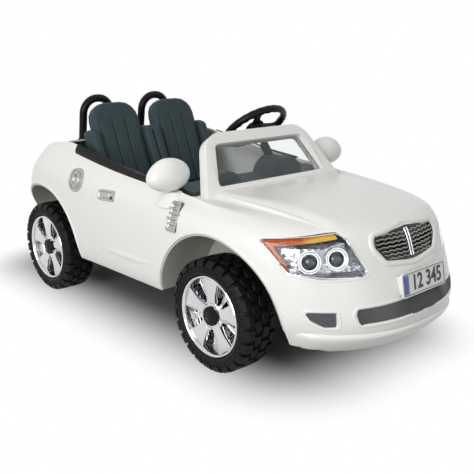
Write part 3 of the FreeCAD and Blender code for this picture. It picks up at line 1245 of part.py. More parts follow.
def make_controls():
    """Accelerator pedal and gear lever."""
    half, sheet = Sizes.pedal_width / 2, Sizes.pedal_sheet / 2
    pin_half = half + Sizes.ear_gap + Sizes.ear_sheet
    pedal = fuse(
        "accelerator_pedal",
        cylinder("pedal_barrel", Sizes.pedal_pin_radius + Sizes.pedal_sleeve, half * 2, "x", (-half, 0, 0)),
        cylinder("pedal_pin", Sizes.pedal_pin_radius, pin_half * 2, "x", (-pin_half, 0, 0)),
        box("pedal_plate", (-half, half), (-sheet, sheet), (0, Sizes.pedal_length)))
    node("accelerator_pedal", place(pedal, PEDAL_X, PEDAL_Y, PEDAL_Z, X_AXIS, Sizes.pedal_lean))
    pin, barrel = Sizes.lever_pin_length, Sizes.lever_barrel_length
    knob = document.addObject("Part::Sphere", "lever_knob")
    bind(knob, "Radius", Sizes.knob_radius)
    place(knob, z=Sizes.lever_length)
    lever = fuse(
        "gear_lever", knob,
        cylinder("lever_stem", Sizes.lever_radius, Sizes.lever_length),
        cylinder("lever_pin", Sizes.lever_pin_radius, pin, "x", (-pin / 2, 0, 0)),
        cylinder("lever_barrel", Sizes.lever_barrel_radius, barrel, "x", (-barrel / 2, 0, 0)))
    node("gear_lever", place(lever, 0, LEVER_Y, LEVER_Z))


def make_power():
    """Battery and control box under the seats."""
    offset = Sizes.driver_offset
    half, y = Sizes.battery_width / 2, SEAT_Y + Sizes.battery_setback
    node("battery", box("battery", (-offset - half, half - offset), (y, y + Sizes.battery_length),
                        (FLOOR_TOP, FLOOR_TOP + Sizes.battery_height)))
    half, y = Sizes.control_width / 2, SEAT_Y + Sizes.control_setback
    node("control_box", box("control_box", (offset - half, offset + half), (y, y + Sizes.control_length),
                            (FLOOR_TOP, FLOOR_TOP + Sizes.control_height)))


# Screen, hoops and mirrors

def make_screen():
    """Raked windscreen frame with its clear pane."""
    height, top_half, foot_half = Sizes.screen_height, Sizes.screen_top_half, Sizes.screen_foot_half
    bar, pillar, sink, gap = Sizes.frame_bar, Sizes.pillar_bar, Sizes.frame_sink, Sizes.seat_gap
    slope = (foot_half - top_half) / height
    foot_reach = foot_half + pillar + sink * slope + Sizes.frame_spread
    top_reach = top_half + pillar - bar * slope
    owner = new_body("frame_body")
    frame = pad(owner, outline(owner, "frame_outer", "XZ_Plane", [
        (-foot_reach, -sink), (foot_reach, -sink), (top_reach, height + bar), (-top_reach, height + bar)]),
        Sizes.frame_depth, midplane=True)
    round_edges(owner, frame, Sizes.frame_corner, lambda edge: is_top_corner(edge, float(height)))
    opening = outline(owner, "frame_opening", "XZ_Plane", [
        (-foot_half, 0), (foot_half, 0), (top_half, height), (-top_half, height)])
    hollow = pocket(owner, opening, Sizes.frame_depth * 3, midplane=True)
    round_edges(owner, hollow, Sizes.opening_round, lambda edge: is_opening_corner(edge, float(height)))
    place(owner, 0, SCREEN_Y, SCREEN_Z, X_AXIS, -Sizes.screen_rake)
    node("windshield_frame", cut("windshield_frame", owner, outside_core))
    pane_owner = new_body("pane_body")
    pane = outline(pane_owner, "pane_outline", "XZ_Plane", [
        (gap - foot_half, gap), (foot_half - gap, gap), (top_half - gap, height - gap),
        (gap - top_half, height - gap)])
    sheet = pad(pane_owner, pane, Sizes.pane_sheet, midplane=True)
    round_edges(pane_owner, sheet, Sizes.opening_round - gap, runs_through)
    place(pane_owner, 0, SCREEN_Y, SCREEN_Z, X_AXIS, -Sizes.screen_rake)
    node("windshield_pane", cut("windshield_pane", pane_owner, outside_core))


def is_top_corner(edge, height):
    """True for the edges through the frame's depth at its top corners."""
    return all(vertex.Z > height for vertex in edge.Vertexes) and not runs_across(edge)


def runs_through(edge):
    """True for a straight edge through the screen's depth."""
    return abs(edge.tangentAt(edge.FirstParameter).y) > 0.99


def is_opening_corner(edge, height):
    """True for the edges through the frame's depth at the corners of its opening."""
    return runs_through(edge) and all(-PAST < vertex.Z < height + PAST for vertex in edge.Vertexes)


def make_hoops():
    """Tube roll hoops on the rear deck."""
    half, height, bend = float(Sizes.hoop_half_width), float(Sizes.hoop_height), float(Sizes.hoop_bend)
    corner = bend * (1 - math.sqrt(0.5))
    bends = []
    for sign in (-1, 1):
        start, end = VECTOR(sign * half, 0, height - bend), VECTOR(sign * (half - bend), 0, height)
        bends.append(Part.Arc(start, VECTOR(sign * (half - corner), 0, height - corner), end))
    legs = [Part.LineSegment(VECTOR(x, 0, 0), VECTOR(x, 0, height - bend)) for x in (-half, half)]
    bar = Part.LineSegment(VECTOR(bend - half, 0, height), VECTOR(half - bend, 0, height))
    path = Part.Wire([piece.toShape() for piece in (legs[0], bends[0], bar, bends[1], legs[1])])
    ring = Part.Wire(Part.makeCircle(float(Sizes.hoop_tube_radius), VECTOR(-half, 0, 0), Z_AXIS))
    for side, sign in SIDES:
        tube = shaped(f"hoop_tube_{side}", path.makePipeShell([ring], True, False))
        place(tube, sign * Sizes.driver_offset, DECK_Y + Sizes.hoop_setback, Sizes.deck_height - Sizes.hoop_sink,
              X_AXIS, Sizes.hoop_lean)
        node(f"roll_hoop_{side}", cut(f"roll_hoop_{side}", tube, outside_core))


def make_mirrors():
    """Egg-shaped mirrors, each on a pin in a small boss on the belt."""
    x, y = Sizes.mirror_inset - Sizes.body_width / 2, DASH_Y + Sizes.mirror_setback
    height = Sizes.belt_height + Sizes.mirror_rise
    half_width, half_height = Sizes.mirror_half_width, Sizes.mirror_half_height
    pin, pin_x = Sizes.mirror_pin_radius, x + Sizes.mirror_pin_inset
    boss_top = height - half_height - Sizes.mirror_boss_gap
    boss_foot = Sizes.belt_height - Sizes.mirror_boss_root
    pin_foot = boss_top - Sizes.mirror_pin_sink
    flat = y + Sizes.mirror_flat
    wide = (x - half_width * 2, x + half_width * 2)
    tall = (height - half_height * 2, height + half_height * 2)
    egg = ellipsoid("mirror_egg", 0, (x, y, height))
    behind = box("mirror_behind", wide, (flat, y + Sizes.mirror_half_depth * 2), tall)
    rod = cylinder("mirror_pin", pin, height - pin_foot, "z", (pin_x, y, pin_foot))
    housing = fuse("mirror_right", cut("mirror_cut", egg, behind), rod)
    slab = box("mirror_slab", wide, (flat, flat + Sizes.mirror_glass_sheet), tall)
    glass = common("mirror_glass_right", ellipsoid("mirror_glass_egg", Sizes.mirror_rim, (x, y, height)), slab)
    boss = cylinder("mirror_boss", pin + Sizes.mirror_boss_sheet, boss_top - boss_foot, "z", (pin_x, y, boss_foot))
    hole = cylinder("mirror_hole", pin + Sizes.running_gap, height, "z", (pin_x, y, 0))
    mount = cut("mirror_mount", cut("mirror_foot", boss, outside_core), hole)
    node("mirror_right", housing)
    node("mirror_glass_right", glass)
    node("mirror_left", left_twin("mirror_left", housing))
    node("mirror_glass_left", left_twin("mirror_glass_left", glass))
    document.recompute()
    pair("mirror_mounts", mount.Shape)


def left_twin(name, piece):
    """Left-hand twin of a right-hand piece."""
    twin = document.addObject("Part::Mirroring", name)
    twin.Source = piece
    twin.Normal = X_AXIS
    return twin


def ellipsoid(name, rim, at):
    """Egg with the mirror's half sizes, its height and width drawn in by a rim."""
    egg = document.addObject("Part::Ellipsoid", name)
    bind(egg, "Radius1", Sizes.mirror_half_height - rim)
    bind(egg, "Radius2", Sizes.mirror_half_width - rim)
    bind(egg, "Radius3", Sizes.mirror_half_depth)
    return place(egg, *at)


def check_and_write():
    """Checks every object, then writes each part."""
    document.recompute()
    for item in document.Objects:
        if "Invalid" in item.State or "Error" in item.State:
            raise RuntimeError(f"{item.Label} failed: {item.State}")
    for piece in NODES:
        shape = piece.Shape
        if shape.isNull() or not shape.isValid() or not shape.Solids:
            raise RuntimeError(f"{piece.Label} has no valid solid")
    os.makedirs("parts", exist_ok=True)
    for piece in NODES:
        piece.Shape.exportStep(f"parts/{piece.Label}.step")
        print(piece.Label, len(piece.Shape.Solids), round(piece.Shape.Volume / 1000, 1))


make_body_shell()
make_grilles()
make_headlamps()
make_plate()
make_fuel_cap()
make_side_trim()
make_arch_liners()
make_chassis_pan()
make_front_axle()
for knuckle_side, knuckle_sign in SIDES:
    make_knuckle(knuckle_side, knuckle_sign)
make_tie_rod()
make_rear_drive()
make_steering()
make_wheels()
make_seats()
make_dashboard()
make_controls()
make_power()
make_screen()
make_hoops()
make_mirrors()
check_and_write()
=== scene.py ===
"""Looks of a two-seat electric ride-on car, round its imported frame: finishes, detailed pieces and studio."""
import json
import logging
import math
from collections.abc import Callable, Iterable, Sequence
from dataclasses import dataclass, field
from enum import Enum
from functools import partial

import bmesh
import bpy
import numpy as np
from mathutils import Matrix, Vector
from mathutils.bvhtree import BVHTree


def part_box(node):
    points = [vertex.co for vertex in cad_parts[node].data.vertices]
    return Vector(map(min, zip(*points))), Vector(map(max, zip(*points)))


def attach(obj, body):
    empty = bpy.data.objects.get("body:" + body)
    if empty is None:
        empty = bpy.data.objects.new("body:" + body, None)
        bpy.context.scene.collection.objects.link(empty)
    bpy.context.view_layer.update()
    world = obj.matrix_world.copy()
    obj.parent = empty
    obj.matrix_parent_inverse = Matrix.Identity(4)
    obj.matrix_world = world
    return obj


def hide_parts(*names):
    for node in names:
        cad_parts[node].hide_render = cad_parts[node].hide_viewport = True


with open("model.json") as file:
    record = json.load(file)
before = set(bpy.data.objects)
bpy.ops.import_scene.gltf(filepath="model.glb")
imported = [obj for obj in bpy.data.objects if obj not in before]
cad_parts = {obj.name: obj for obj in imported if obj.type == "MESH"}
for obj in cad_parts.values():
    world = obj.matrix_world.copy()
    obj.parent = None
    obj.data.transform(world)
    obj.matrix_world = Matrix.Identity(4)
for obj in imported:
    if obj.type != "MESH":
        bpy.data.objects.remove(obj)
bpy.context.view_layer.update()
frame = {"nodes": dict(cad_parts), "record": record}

LOG = logging.getLogger("ride_on_car")

Colour = tuple[float, float, float]
Flat = tuple[float, float]
Size = tuple[float, float, float]
Outline = tuple[Flat, ...]
Vert = bmesh.types.BMVert
Edge = bmesh.types.BMEdge
Face = bmesh.types.BMFace
Verts = list[Vert]
Node = bpy.types.Node
Tree = bpy.types.NodeTree
Socket = bpy.types.NodeSocket

X_AXIS = Vector((1, 0, 0))
Y_AXIS = Vector((0, 1, 0))
Z_AXIS = Vector((0, 0, 1))
AHEAD = Vector((0, -1, 0))
FULL_TURN = 2 * math.pi
X_TO_UP = Matrix.Rotation(math.radians(-90), 4, "Y")
CHASSIS = "chassis"
CRISP_ANGLE = 38.0
DOUBLES = 1e-6
BEAD_STEP = 0.008


class Side(Enum):
    """Sides of the car, with the sign of X on each."""

    RIGHT = -1
    LEFT = 1

    @property
    def label(self) -> str:
        """Word for the side in node and body names."""
        return self.name.lower()


class End(Enum):
    """Ends of the car that carry an axle."""

    FRONT = "front"
    REAR = "rear"


# Shader node groups and finishes


class Effect(Enum):
    """Shader node groups that several finishes share."""

    MOULDED = "moulded_surface"
    DUST = "road_dust"
    BEADS = "pressed_beads"


def add_node(tree: Tree, kind: str, inputs: dict[str, float | Socket]) -> Node:
    """Adds a shader node.

    Args:
        tree: Nodes that it joins.
        kind: Its kind, as Blender names it.
        inputs: Value, or socket to link, by input name.

    Returns:
        The node.
    """
    node = tree.nodes.new(f"ShaderNode{kind}")
    for name, value in inputs.items():
        if isinstance(value, Socket):
            tree.links.new(value, node.inputs[name])
        else:
            node.inputs[name].default_value = value
    return node


def combine(tree: Tree, operation: str, first: Socket, second: Socket) -> Socket:
    """Works one value out of two.

    Args:
        tree: Nodes that the sum goes into.
        operation: Which sum it is.
        first: Its first value.
        second: Its second value.

    Returns:
        The result's socket.
    """
    node = tree.nodes.new("ShaderNodeMath")
    node.operation = operation
    tree.links.new(first, node.inputs[0])
    tree.links.new(second, node.inputs[1])
    return node.outputs["Value"]


def blend(tree: Tree, share: Socket, first: Socket, second: Socket | Colour) -> Socket:
    """Mixes two colours.

    Args:
        tree: Nodes that the mix goes into.
        share: Share of the second colour.
        first: First colour.
        second: Second colour, as a socket or as a plain colour.

    Returns:
        The mixed colour's socket.
    """
    mix = tree.nodes.new("ShaderNodeMix")
    mix.data_type = "RGBA"
    tree.links.new(share, mix.inputs["Factor"])
    tree.links.new(first, mix.inputs["A"])
    if isinstance(second, Socket):
        tree.links.new(second, mix.inputs["B"])
    else:
        mix.inputs["B"].default_value = (*second, 1)
    return mix.outputs["Result"]


def object_spot(tree: Tree) -> Socket:
    """Object coordinates."""
    return tree.nodes.new("ShaderNodeTexCoord").outputs["Object"]


def object_axis(tree: Tree, axis: str) -> Socket:
    """One of the Object coordinates."""
    return add_node(tree, "SeparateXYZ", {"Vector": object_spot(tree)}).outputs[axis]


class EffectShelf:
    """Builds each shared shader group once; a noise is given as features a metre and octaves."""

    DRIFT = (7.0, 3.0)
    SMEAR = (26.0, 5.0)
    SMEAR_SPAN = (0.3, 0.7)
    GRAIN = (900.0, 2.0)
    CLOUD = (34.0, 6.0)
    BEAD_DISORDER = 0.12
    BEAD_EDGE = 0.6

    def __init__(self) -> None:
        """Builds the three groups."""
        self.groups = {
            Effect.MOULDED: self.moulded(),
            Effect.DUST: self.dust(),
            Effect.BEADS: self.beads(),
        }

    def start(self, effect: Effect, inputs: dict[str, str], outputs: dict[str, str]) -> Tree:
        """Starts a group with its sockets.

        Args:
            effect: Which effect the group makes.
            inputs: Socket types by input name.
            outputs: Socket types by output name.

        Returns:
            The new node tree with its input and output nodes.
        """
        tree = bpy.data.node_groups.new(effect.value, "ShaderNodeTree")
        for in_out, sockets in (("INPUT", inputs), ("OUTPUT", outputs)):
            for name, kind in sockets.items():
                tree.interface.new_socket(name=name, in_out=in_out, socket_type=f"NodeSocket{kind}")
        tree.nodes.new("NodeGroupInput").name = "in"
        tree.nodes.new("NodeGroupOutput").name = "out"
        return tree

    def noise(self, tree: Tree, scale: float, detail: float) -> Node:
        """Noise on Object coordinates."""
        return add_node(tree, "TexNoise", {"Scale": scale, "Detail": detail, "Vector": object_spot(tree)})

    def moulded(self) -> Tree:
        """Colour drift, uneven gloss and fine grain of a moulded piece.

        Returns:
            The group.
        """
        tree = self.start(
            Effect.MOULDED,
            {"Base": "Color", "Shade": "Color", "Smooth": "Float", "Rough": "Float", "Grain": "Float"},
            {"Color": "Color", "Roughness": "Float", "Height": "Float"})
        given, out = tree.nodes["in"], tree.nodes["out"]
        drift = self.noise(tree, *self.DRIFT)
        colour = blend(tree, drift.outputs["Fac"], given.outputs["Base"], given.outputs["Shade"])
        tree.links.new(colour, out.inputs["Color"])
        smear = self.noise(tree, *self.SMEAR)
        span = add_node(tree, "MapRange", {
            "Value": smear.outputs["Fac"], "From Min": self.SMEAR_SPAN[0], "From Max": self.SMEAR_SPAN[1],
            "To Min": given.outputs["Smooth"], "To Max": given.outputs["Rough"]})
        tree.links.new(span.outputs["Result"], out.inputs["Roughness"])
        fine = self.noise(tree, *self.GRAIN)
        tree.links.new(given.outputs["Grain"], fine.inputs["Scale"])
        tree.links.new(fine.outputs["Fac"], out.inputs["Height"])
        return tree

    def dust(self) -> Tree:
        """Pale dust that gathers towards the ground.

        Returns:
            The group.
        """
        tree = self.start(
            Effect.DUST, {"Color": "Color", "Dust": "Color", "Top": "Float", "Amount": "Float"},
            {"Color": "Color"})
        given, out = tree.nodes["in"], tree.nodes["out"]
        low = add_node(tree, "MapRange", {
            "Value": object_axis(tree, "Z"), "From Max": given.outputs["Top"], "To Min": 1.0, "To Max": 0.0})
        cloud = self.noise(tree, *self.CLOUD)
        patches = combine(tree, "MULTIPLY", low.outputs["Result"], cloud.outputs["Fac"])
        share = combine(tree, "MULTIPLY", patches, given.outputs["Amount"])
        colour = blend(tree, share, given.outputs["Color"], given.outputs["Dust"])
        tree.links.new(colour, out.inputs["Color"])
        return tree

    def beads(self) -> Tree:
        """Rows of small pressed beads, as inside a lamp.

        Returns:
            The group.
        """
        tree = self.start(Effect.BEADS, {"Scale": "Float"}, {"Height": "Float", "Cell": "Float"})
        given, out = tree.nodes["in"], tree.nodes["out"]
        cells = add_node(tree, "TexVoronoi", {
            "Vector": object_spot(tree), "Scale": given.outputs["Scale"], "Randomness": self.BEAD_DISORDER})
        crown = add_node(tree, "MapRange", {
            "Value": cells.outputs["Distance"], "From Max": self.BEAD_EDGE, "To Min": 1.0, "To Max": 0.0})
        tree.links.new(crown.outputs["Result"], out.inputs["Height"])
        tint = add_node(tree, "SeparateColor", {"Color": cells.outputs["Color"]})
        tree.links.new(tint.outputs["Red"], out.inputs["Cell"])
        return tree


COAT_ROUGHNESS = 0.08
DUST_COLOUR = (0.3, 0.28, 0.25)
BUMP_DEPTH = 0.002
BEAD_BUMP = 0.6


@dataclass(frozen=True)
class Finish:
    """A moulded, painted or plated surface."""

    name: str
    base: Colour
    shade: Colour
    smooth: float
    rough: float
    grain: float = 900.0
    bump: float = 0.02
    metallic: float = 0.0
    coat: float = 0.0
    dust: float = 0.0
    dust_top: float = 0.3
    beads: float = 0.0
    # Second colour of the bead cells: painted reflections of faceted chrome
    painted_facet_reflection: Colour | None = None
    specular: float = 0.5

    def make(self, shelf: EffectShelf) -> bpy.types.Material:
        """Builds the material.

        Args:
            shelf: Shared shader groups.

        Returns:
            The finished material.
        """
        material = bpy.data.materials.new(self.name)
        material.use_nodes = True
        tree = material.node_tree
        shader = tree.nodes["Principled BSDF"]
        shader.inputs["Metallic"].default_value = self.metallic
        shader.inputs["Coat Weight"].default_value = self.coat
        shader.inputs["Coat Roughness"].default_value = COAT_ROUGHNESS
        shader.inputs["Specular IOR Level"].default_value = self.specular
        surface = self.place(tree, shelf, Effect.MOULDED, {
            "Base": (*self.base, 1), "Shade": (*self.shade, 1), "Smooth": self.smooth, "Rough": self.rough,
            "Grain": self.grain})
        colour = surface.outputs["Color"]
        if self.dust:
            dusty = self.place(tree, shelf, Effect.DUST, {
                "Dust": (*DUST_COLOUR, 1), "Top": self.dust_top, "Amount": self.dust})
            tree.links.new(colour, dusty.inputs["Color"])
            colour = dusty.outputs["Color"]
        height, strength = surface.outputs["Height"], self.bump
        if self.beads:
            pressed = self.place(tree, shelf, Effect.BEADS, {"Scale": self.beads})
            height, strength = pressed.outputs["Height"], BEAD_BUMP
            # Bead cells mixed with a second colour: painted reflections of faceted chrome
            if self.painted_facet_reflection:
                colour = blend(tree, pressed.outputs["Cell"], colour, self.painted_facet_reflection)
        tree.links.new(colour, shader.inputs["Base Color"])
        tree.links.new(surface.outputs["Roughness"], shader.inputs["Roughness"])
        bump = add_node(tree, "Bump", {"Strength": strength, "Distance": BUMP_DEPTH, "Height": height})
        tree.links.new(bump.outputs["Normal"], shader.inputs["Normal"])
        self.extend(tree, shader)
        return material

    def place(self, tree: Tree, shelf: EffectShelf, effect: Effect,
              values: dict[str, float | tuple[float, ...]]) -> Node:
        """Places a shared group in the material with its own values.

        Args:
            tree: The material's nodes.
            shelf: Shared shader groups.
            effect: Which group to place.
            values: Input values by name.

        Returns:
            The group's node.
        """
        group = tree.nodes.new("ShaderNodeGroup")
        group.node_tree = shelf.groups[effect]
        for name, value in values.items():
            group.inputs[name].default_value = value
        return group

    def extend(self, tree: Tree, shader: Node) -> None:
        """Adds what a special finish needs; a plain one needs nothing."""


@dataclass(frozen=True)
class ClearFinish(Finish):
    """Clear or tinted moulded plastic that light passes through."""

    index: float = 1.45

    def extend(self, tree: Tree, shader: Node) -> None:
        """Makes the surface clear."""
        shader.inputs["Transmission Weight"].default_value = 1.0
        shader.inputs["IOR"].default_value = self.index


@dataclass(frozen=True)
class RampFinish(Finish):
    """A moulded surface whose colour turns along the car's length."""

    far: Colour = (1.0, 1.0, 1.0)
    start: float = 0.0
    end: float = 1.0

    def extend(self, tree: Tree, shader: Node) -> None:
        """Turns the base colour along Y.

        Args:
            tree: The material's nodes.
            shader: Its shader.
        """
        span = add_node(tree, "MapRange", {
            "Value": object_axis(tree, "Y"), "From Min": self.start, "From Max": self.end})
        near = shader.inputs["Base Color"].links[0].from_socket
        tree.links.new(blend(tree, span.outputs["Result"], near, self.far), shader.inputs["Base Color"])


@dataclass(frozen=True)
class GlowFinish(Finish):
    """A bright lamp ring with a faint painted glow that makes it stand out."""

    glow: float = 0.35

    def extend(self, tree: Tree, shader: Node) -> None:
        """Adds the faint painted glow."""
        shader.inputs["Emission Color"].default_value = (*self.base, 1)
        shader.inputs["Emission Strength"].default_value = self.glow


# Each row: name, colour, second colour, smoothest, roughest, grain a metre, strength of the grain
FINISHES = (
    Finish("body_white", (0.8, 0.805, 0.775), (0.775, 0.78, 0.748), 0.25, 0.275, 420.0, 0.01, coat=0.12),
    Finish("pan_black", (0.02, 0.02, 0.021), (0.03, 0.03, 0.031), 0.45, 0.62, 700.0, 0.15, dust=0.5),
    # liner_grey: olive-grey is painted shade on white plastic inside the arches; its dust is real
    Finish("liner_grey", (0.56, 0.55, 0.49), (0.47, 0.46, 0.41), 0.42, 0.6, 500.0, 0.12, dust=0.18,
           dust_top=0.36),
    ClearFinish("clear_pane", (0.9, 0.925, 0.93), (0.87, 0.9, 0.91), 0.01, 0.05, 60.0, 0.004, index=1.3),
    Finish("slate", (0.04, 0.062, 0.068), (0.031, 0.049, 0.055), 0.46, 0.54, 650.0, 0.03, specular=0.14),
    Finish("trim_black", (0.004, 0.004, 0.0044), (0.007, 0.007, 0.0074), 0.28, 0.44, 800.0, 0.06,
           specular=0.14),
    Finish("grille_dark", (0.055, 0.052, 0.048), (0.03, 0.028, 0.026), 0.22, 0.36, 900.0, 0.03,
           metallic=0.75),
    Finish("slat_metal", (0.34, 0.33, 0.315), (0.22, 0.213, 0.205), 0.16, 0.28, 900.0, 0.03, metallic=0.95),
    Finish("mesh_grey", (0.1, 0.103, 0.108), (0.075, 0.078, 0.082), 0.35, 0.5, 900.0, 0.1, metallic=0.3),
    Finish("plate_white", (0.8, 0.8, 0.79), (0.76, 0.76, 0.75), 0.18, 0.28, 300.0, 0.01, coat=0.3),
    # lamp_chrome: its darker bead cells are painted reflections of faceted chrome
    Finish("lamp_chrome", (0.64, 0.655, 0.68), (0.52, 0.535, 0.56), 0.14, 0.26, 120.0, 0.02, metallic=1.0,
           beads=85.0, painted_facet_reflection=(0.3, 0.31, 0.33)),
    ClearFinish("lamp_lens", (0.97, 0.98, 0.985), (0.95, 0.965, 0.97), 0.01, 0.03, 60.0, 0.004, index=1.25),
    # Dark domes: the shade inside each projector painted onto its glass; the gloss is real
    Finish("projector_painted_shade", (0.075, 0.08, 0.092), (0.05, 0.055, 0.065), 0.04, 0.1, 80.0, 0.01, metallic=0.9,
           coat=0.5),
    RampFinish("amber", (0.76, 0.42, 0.03), (0.7, 0.36, 0.025), 0.1, 0.2, 300.0, 0.1, coat=0.15, beads=170.0,
               specular=0.3, far=(0.46, 0.085, 0.012), start=-0.578, end=-0.556),
    # lamp_ring: its faint emission is a painted glow
    GlowFinish("lamp_ring", (0.95, 0.96, 0.98), (0.9, 0.92, 0.95), 0.05, 0.12, 300.0, 0.01, coat=0.6),
    Finish("silver", (0.52, 0.52, 0.51), (0.42, 0.42, 0.415), 0.2, 0.34, 1500.0, 0.06, metallic=0.85),
    Finish("tail_red", (0.36, 0.008, 0.008), (0.29, 0.006, 0.006), 0.1, 0.18, 300.0, 0.02, coat=0.15,
           beads=140.0, specular=0.3),
    Finish("battery_grey", (0.15, 0.15, 0.155), (0.11, 0.11, 0.115), 0.45, 0.6, 700.0, 0.12),
    Finish("button_red", (0.48, 0.02, 0.015), (0.4, 0.015, 0.012), 0.12, 0.24, 500.0, 0.02, coat=0.5),
    Finish("steel", (0.5, 0.5, 0.51), (0.38, 0.38, 0.385), 0.22, 0.42, 600.0, 0.08, metallic=1.0, dust=0.35),
    Finish("gear_case", (0.035, 0.035, 0.037), (0.05, 0.05, 0.052), 0.4, 0.58, 800.0, 0.14, dust=0.5),
    Finish("horn_grey", (0.3, 0.31, 0.32), (0.22, 0.23, 0.235), 0.2, 0.34, 700.0, 0.04, metallic=0.6),
    Finish("mirror_face", (0.86, 0.88, 0.89), (0.8, 0.82, 0.84), 0.01, 0.05, 40.0, 0.002, metallic=1.0),
    Finish("tyre", (0.0035, 0.0035, 0.0037), (0.007, 0.007, 0.007), 0.4, 0.6, 520.0, 0.2, dust=0.04,
           dust_top=0.26, specular=0.14),
    Finish("rim_chrome", (0.74, 0.74, 0.75), (0.56, 0.56, 0.575), 0.05, 0.14, 150.0, 0.07, metallic=1.0),
    # Darker chrome with near-black cells: painted shade and painted reflections in the rim's recess
    Finish("well_chrome_painted_shade", (0.34, 0.34, 0.345), (0.2, 0.2, 0.205), 0.1, 0.22, 150.0, 0.08, metallic=1.0,
           beads=110.0, painted_facet_reflection=(0.06, 0.06, 0.062)),
    # Near-black finish: painted shade in recesses such as handle slots and vent wells
    Finish("cavity", (0.014, 0.014, 0.015), (0.022, 0.022, 0.023), 0.5, 0.7, 500.0, 0.1, metallic=0.2),
    Finish("plate_blue", (0.03, 0.08, 0.36), (0.025, 0.065, 0.3), 0.2, 0.3, 300.0, 0.01, coat=0.3),
    Finish("plate_ink", (0.012, 0.012, 0.013), (0.02, 0.02, 0.021), 0.3, 0.42, 300.0, 0.02),
)


class Palette:
    """All finishes of the car, made once."""

    def __init__(self) -> None:
        """Makes every material."""
        shelf = EffectShelf()
        self.materials = {finish.name: finish.make(shelf) for finish in FINISHES}

    def dress_nodes(self) -> None:
        """Gives each node of the frame the finish of its slot."""
        for row in frame["record"]["subparts"]:
            node = frame["nodes"][row["node"]]
            for slot in node.material_slots:
                slot.material = self.materials[row["material_slot"]]


# Mesh work


def only(kind: type, items: Iterable) -> list:
    """Those of some mesh elements that are of one kind."""
    return [item for item in items if isinstance(item, kind)]


def edges_of(verts: Iterable[Vert]) -> list[Edge]:
    """Edges at some vertices, each once and in order."""
    return list(dict.fromkeys(edge for vert in verts for edge in vert.link_edges))


def faces_of(verts: Iterable[Vert]) -> list[Face]:
    """Faces at some vertices, each once and in order."""
    return list(dict.fromkeys(face for vert in verts for face in vert.link_faces))


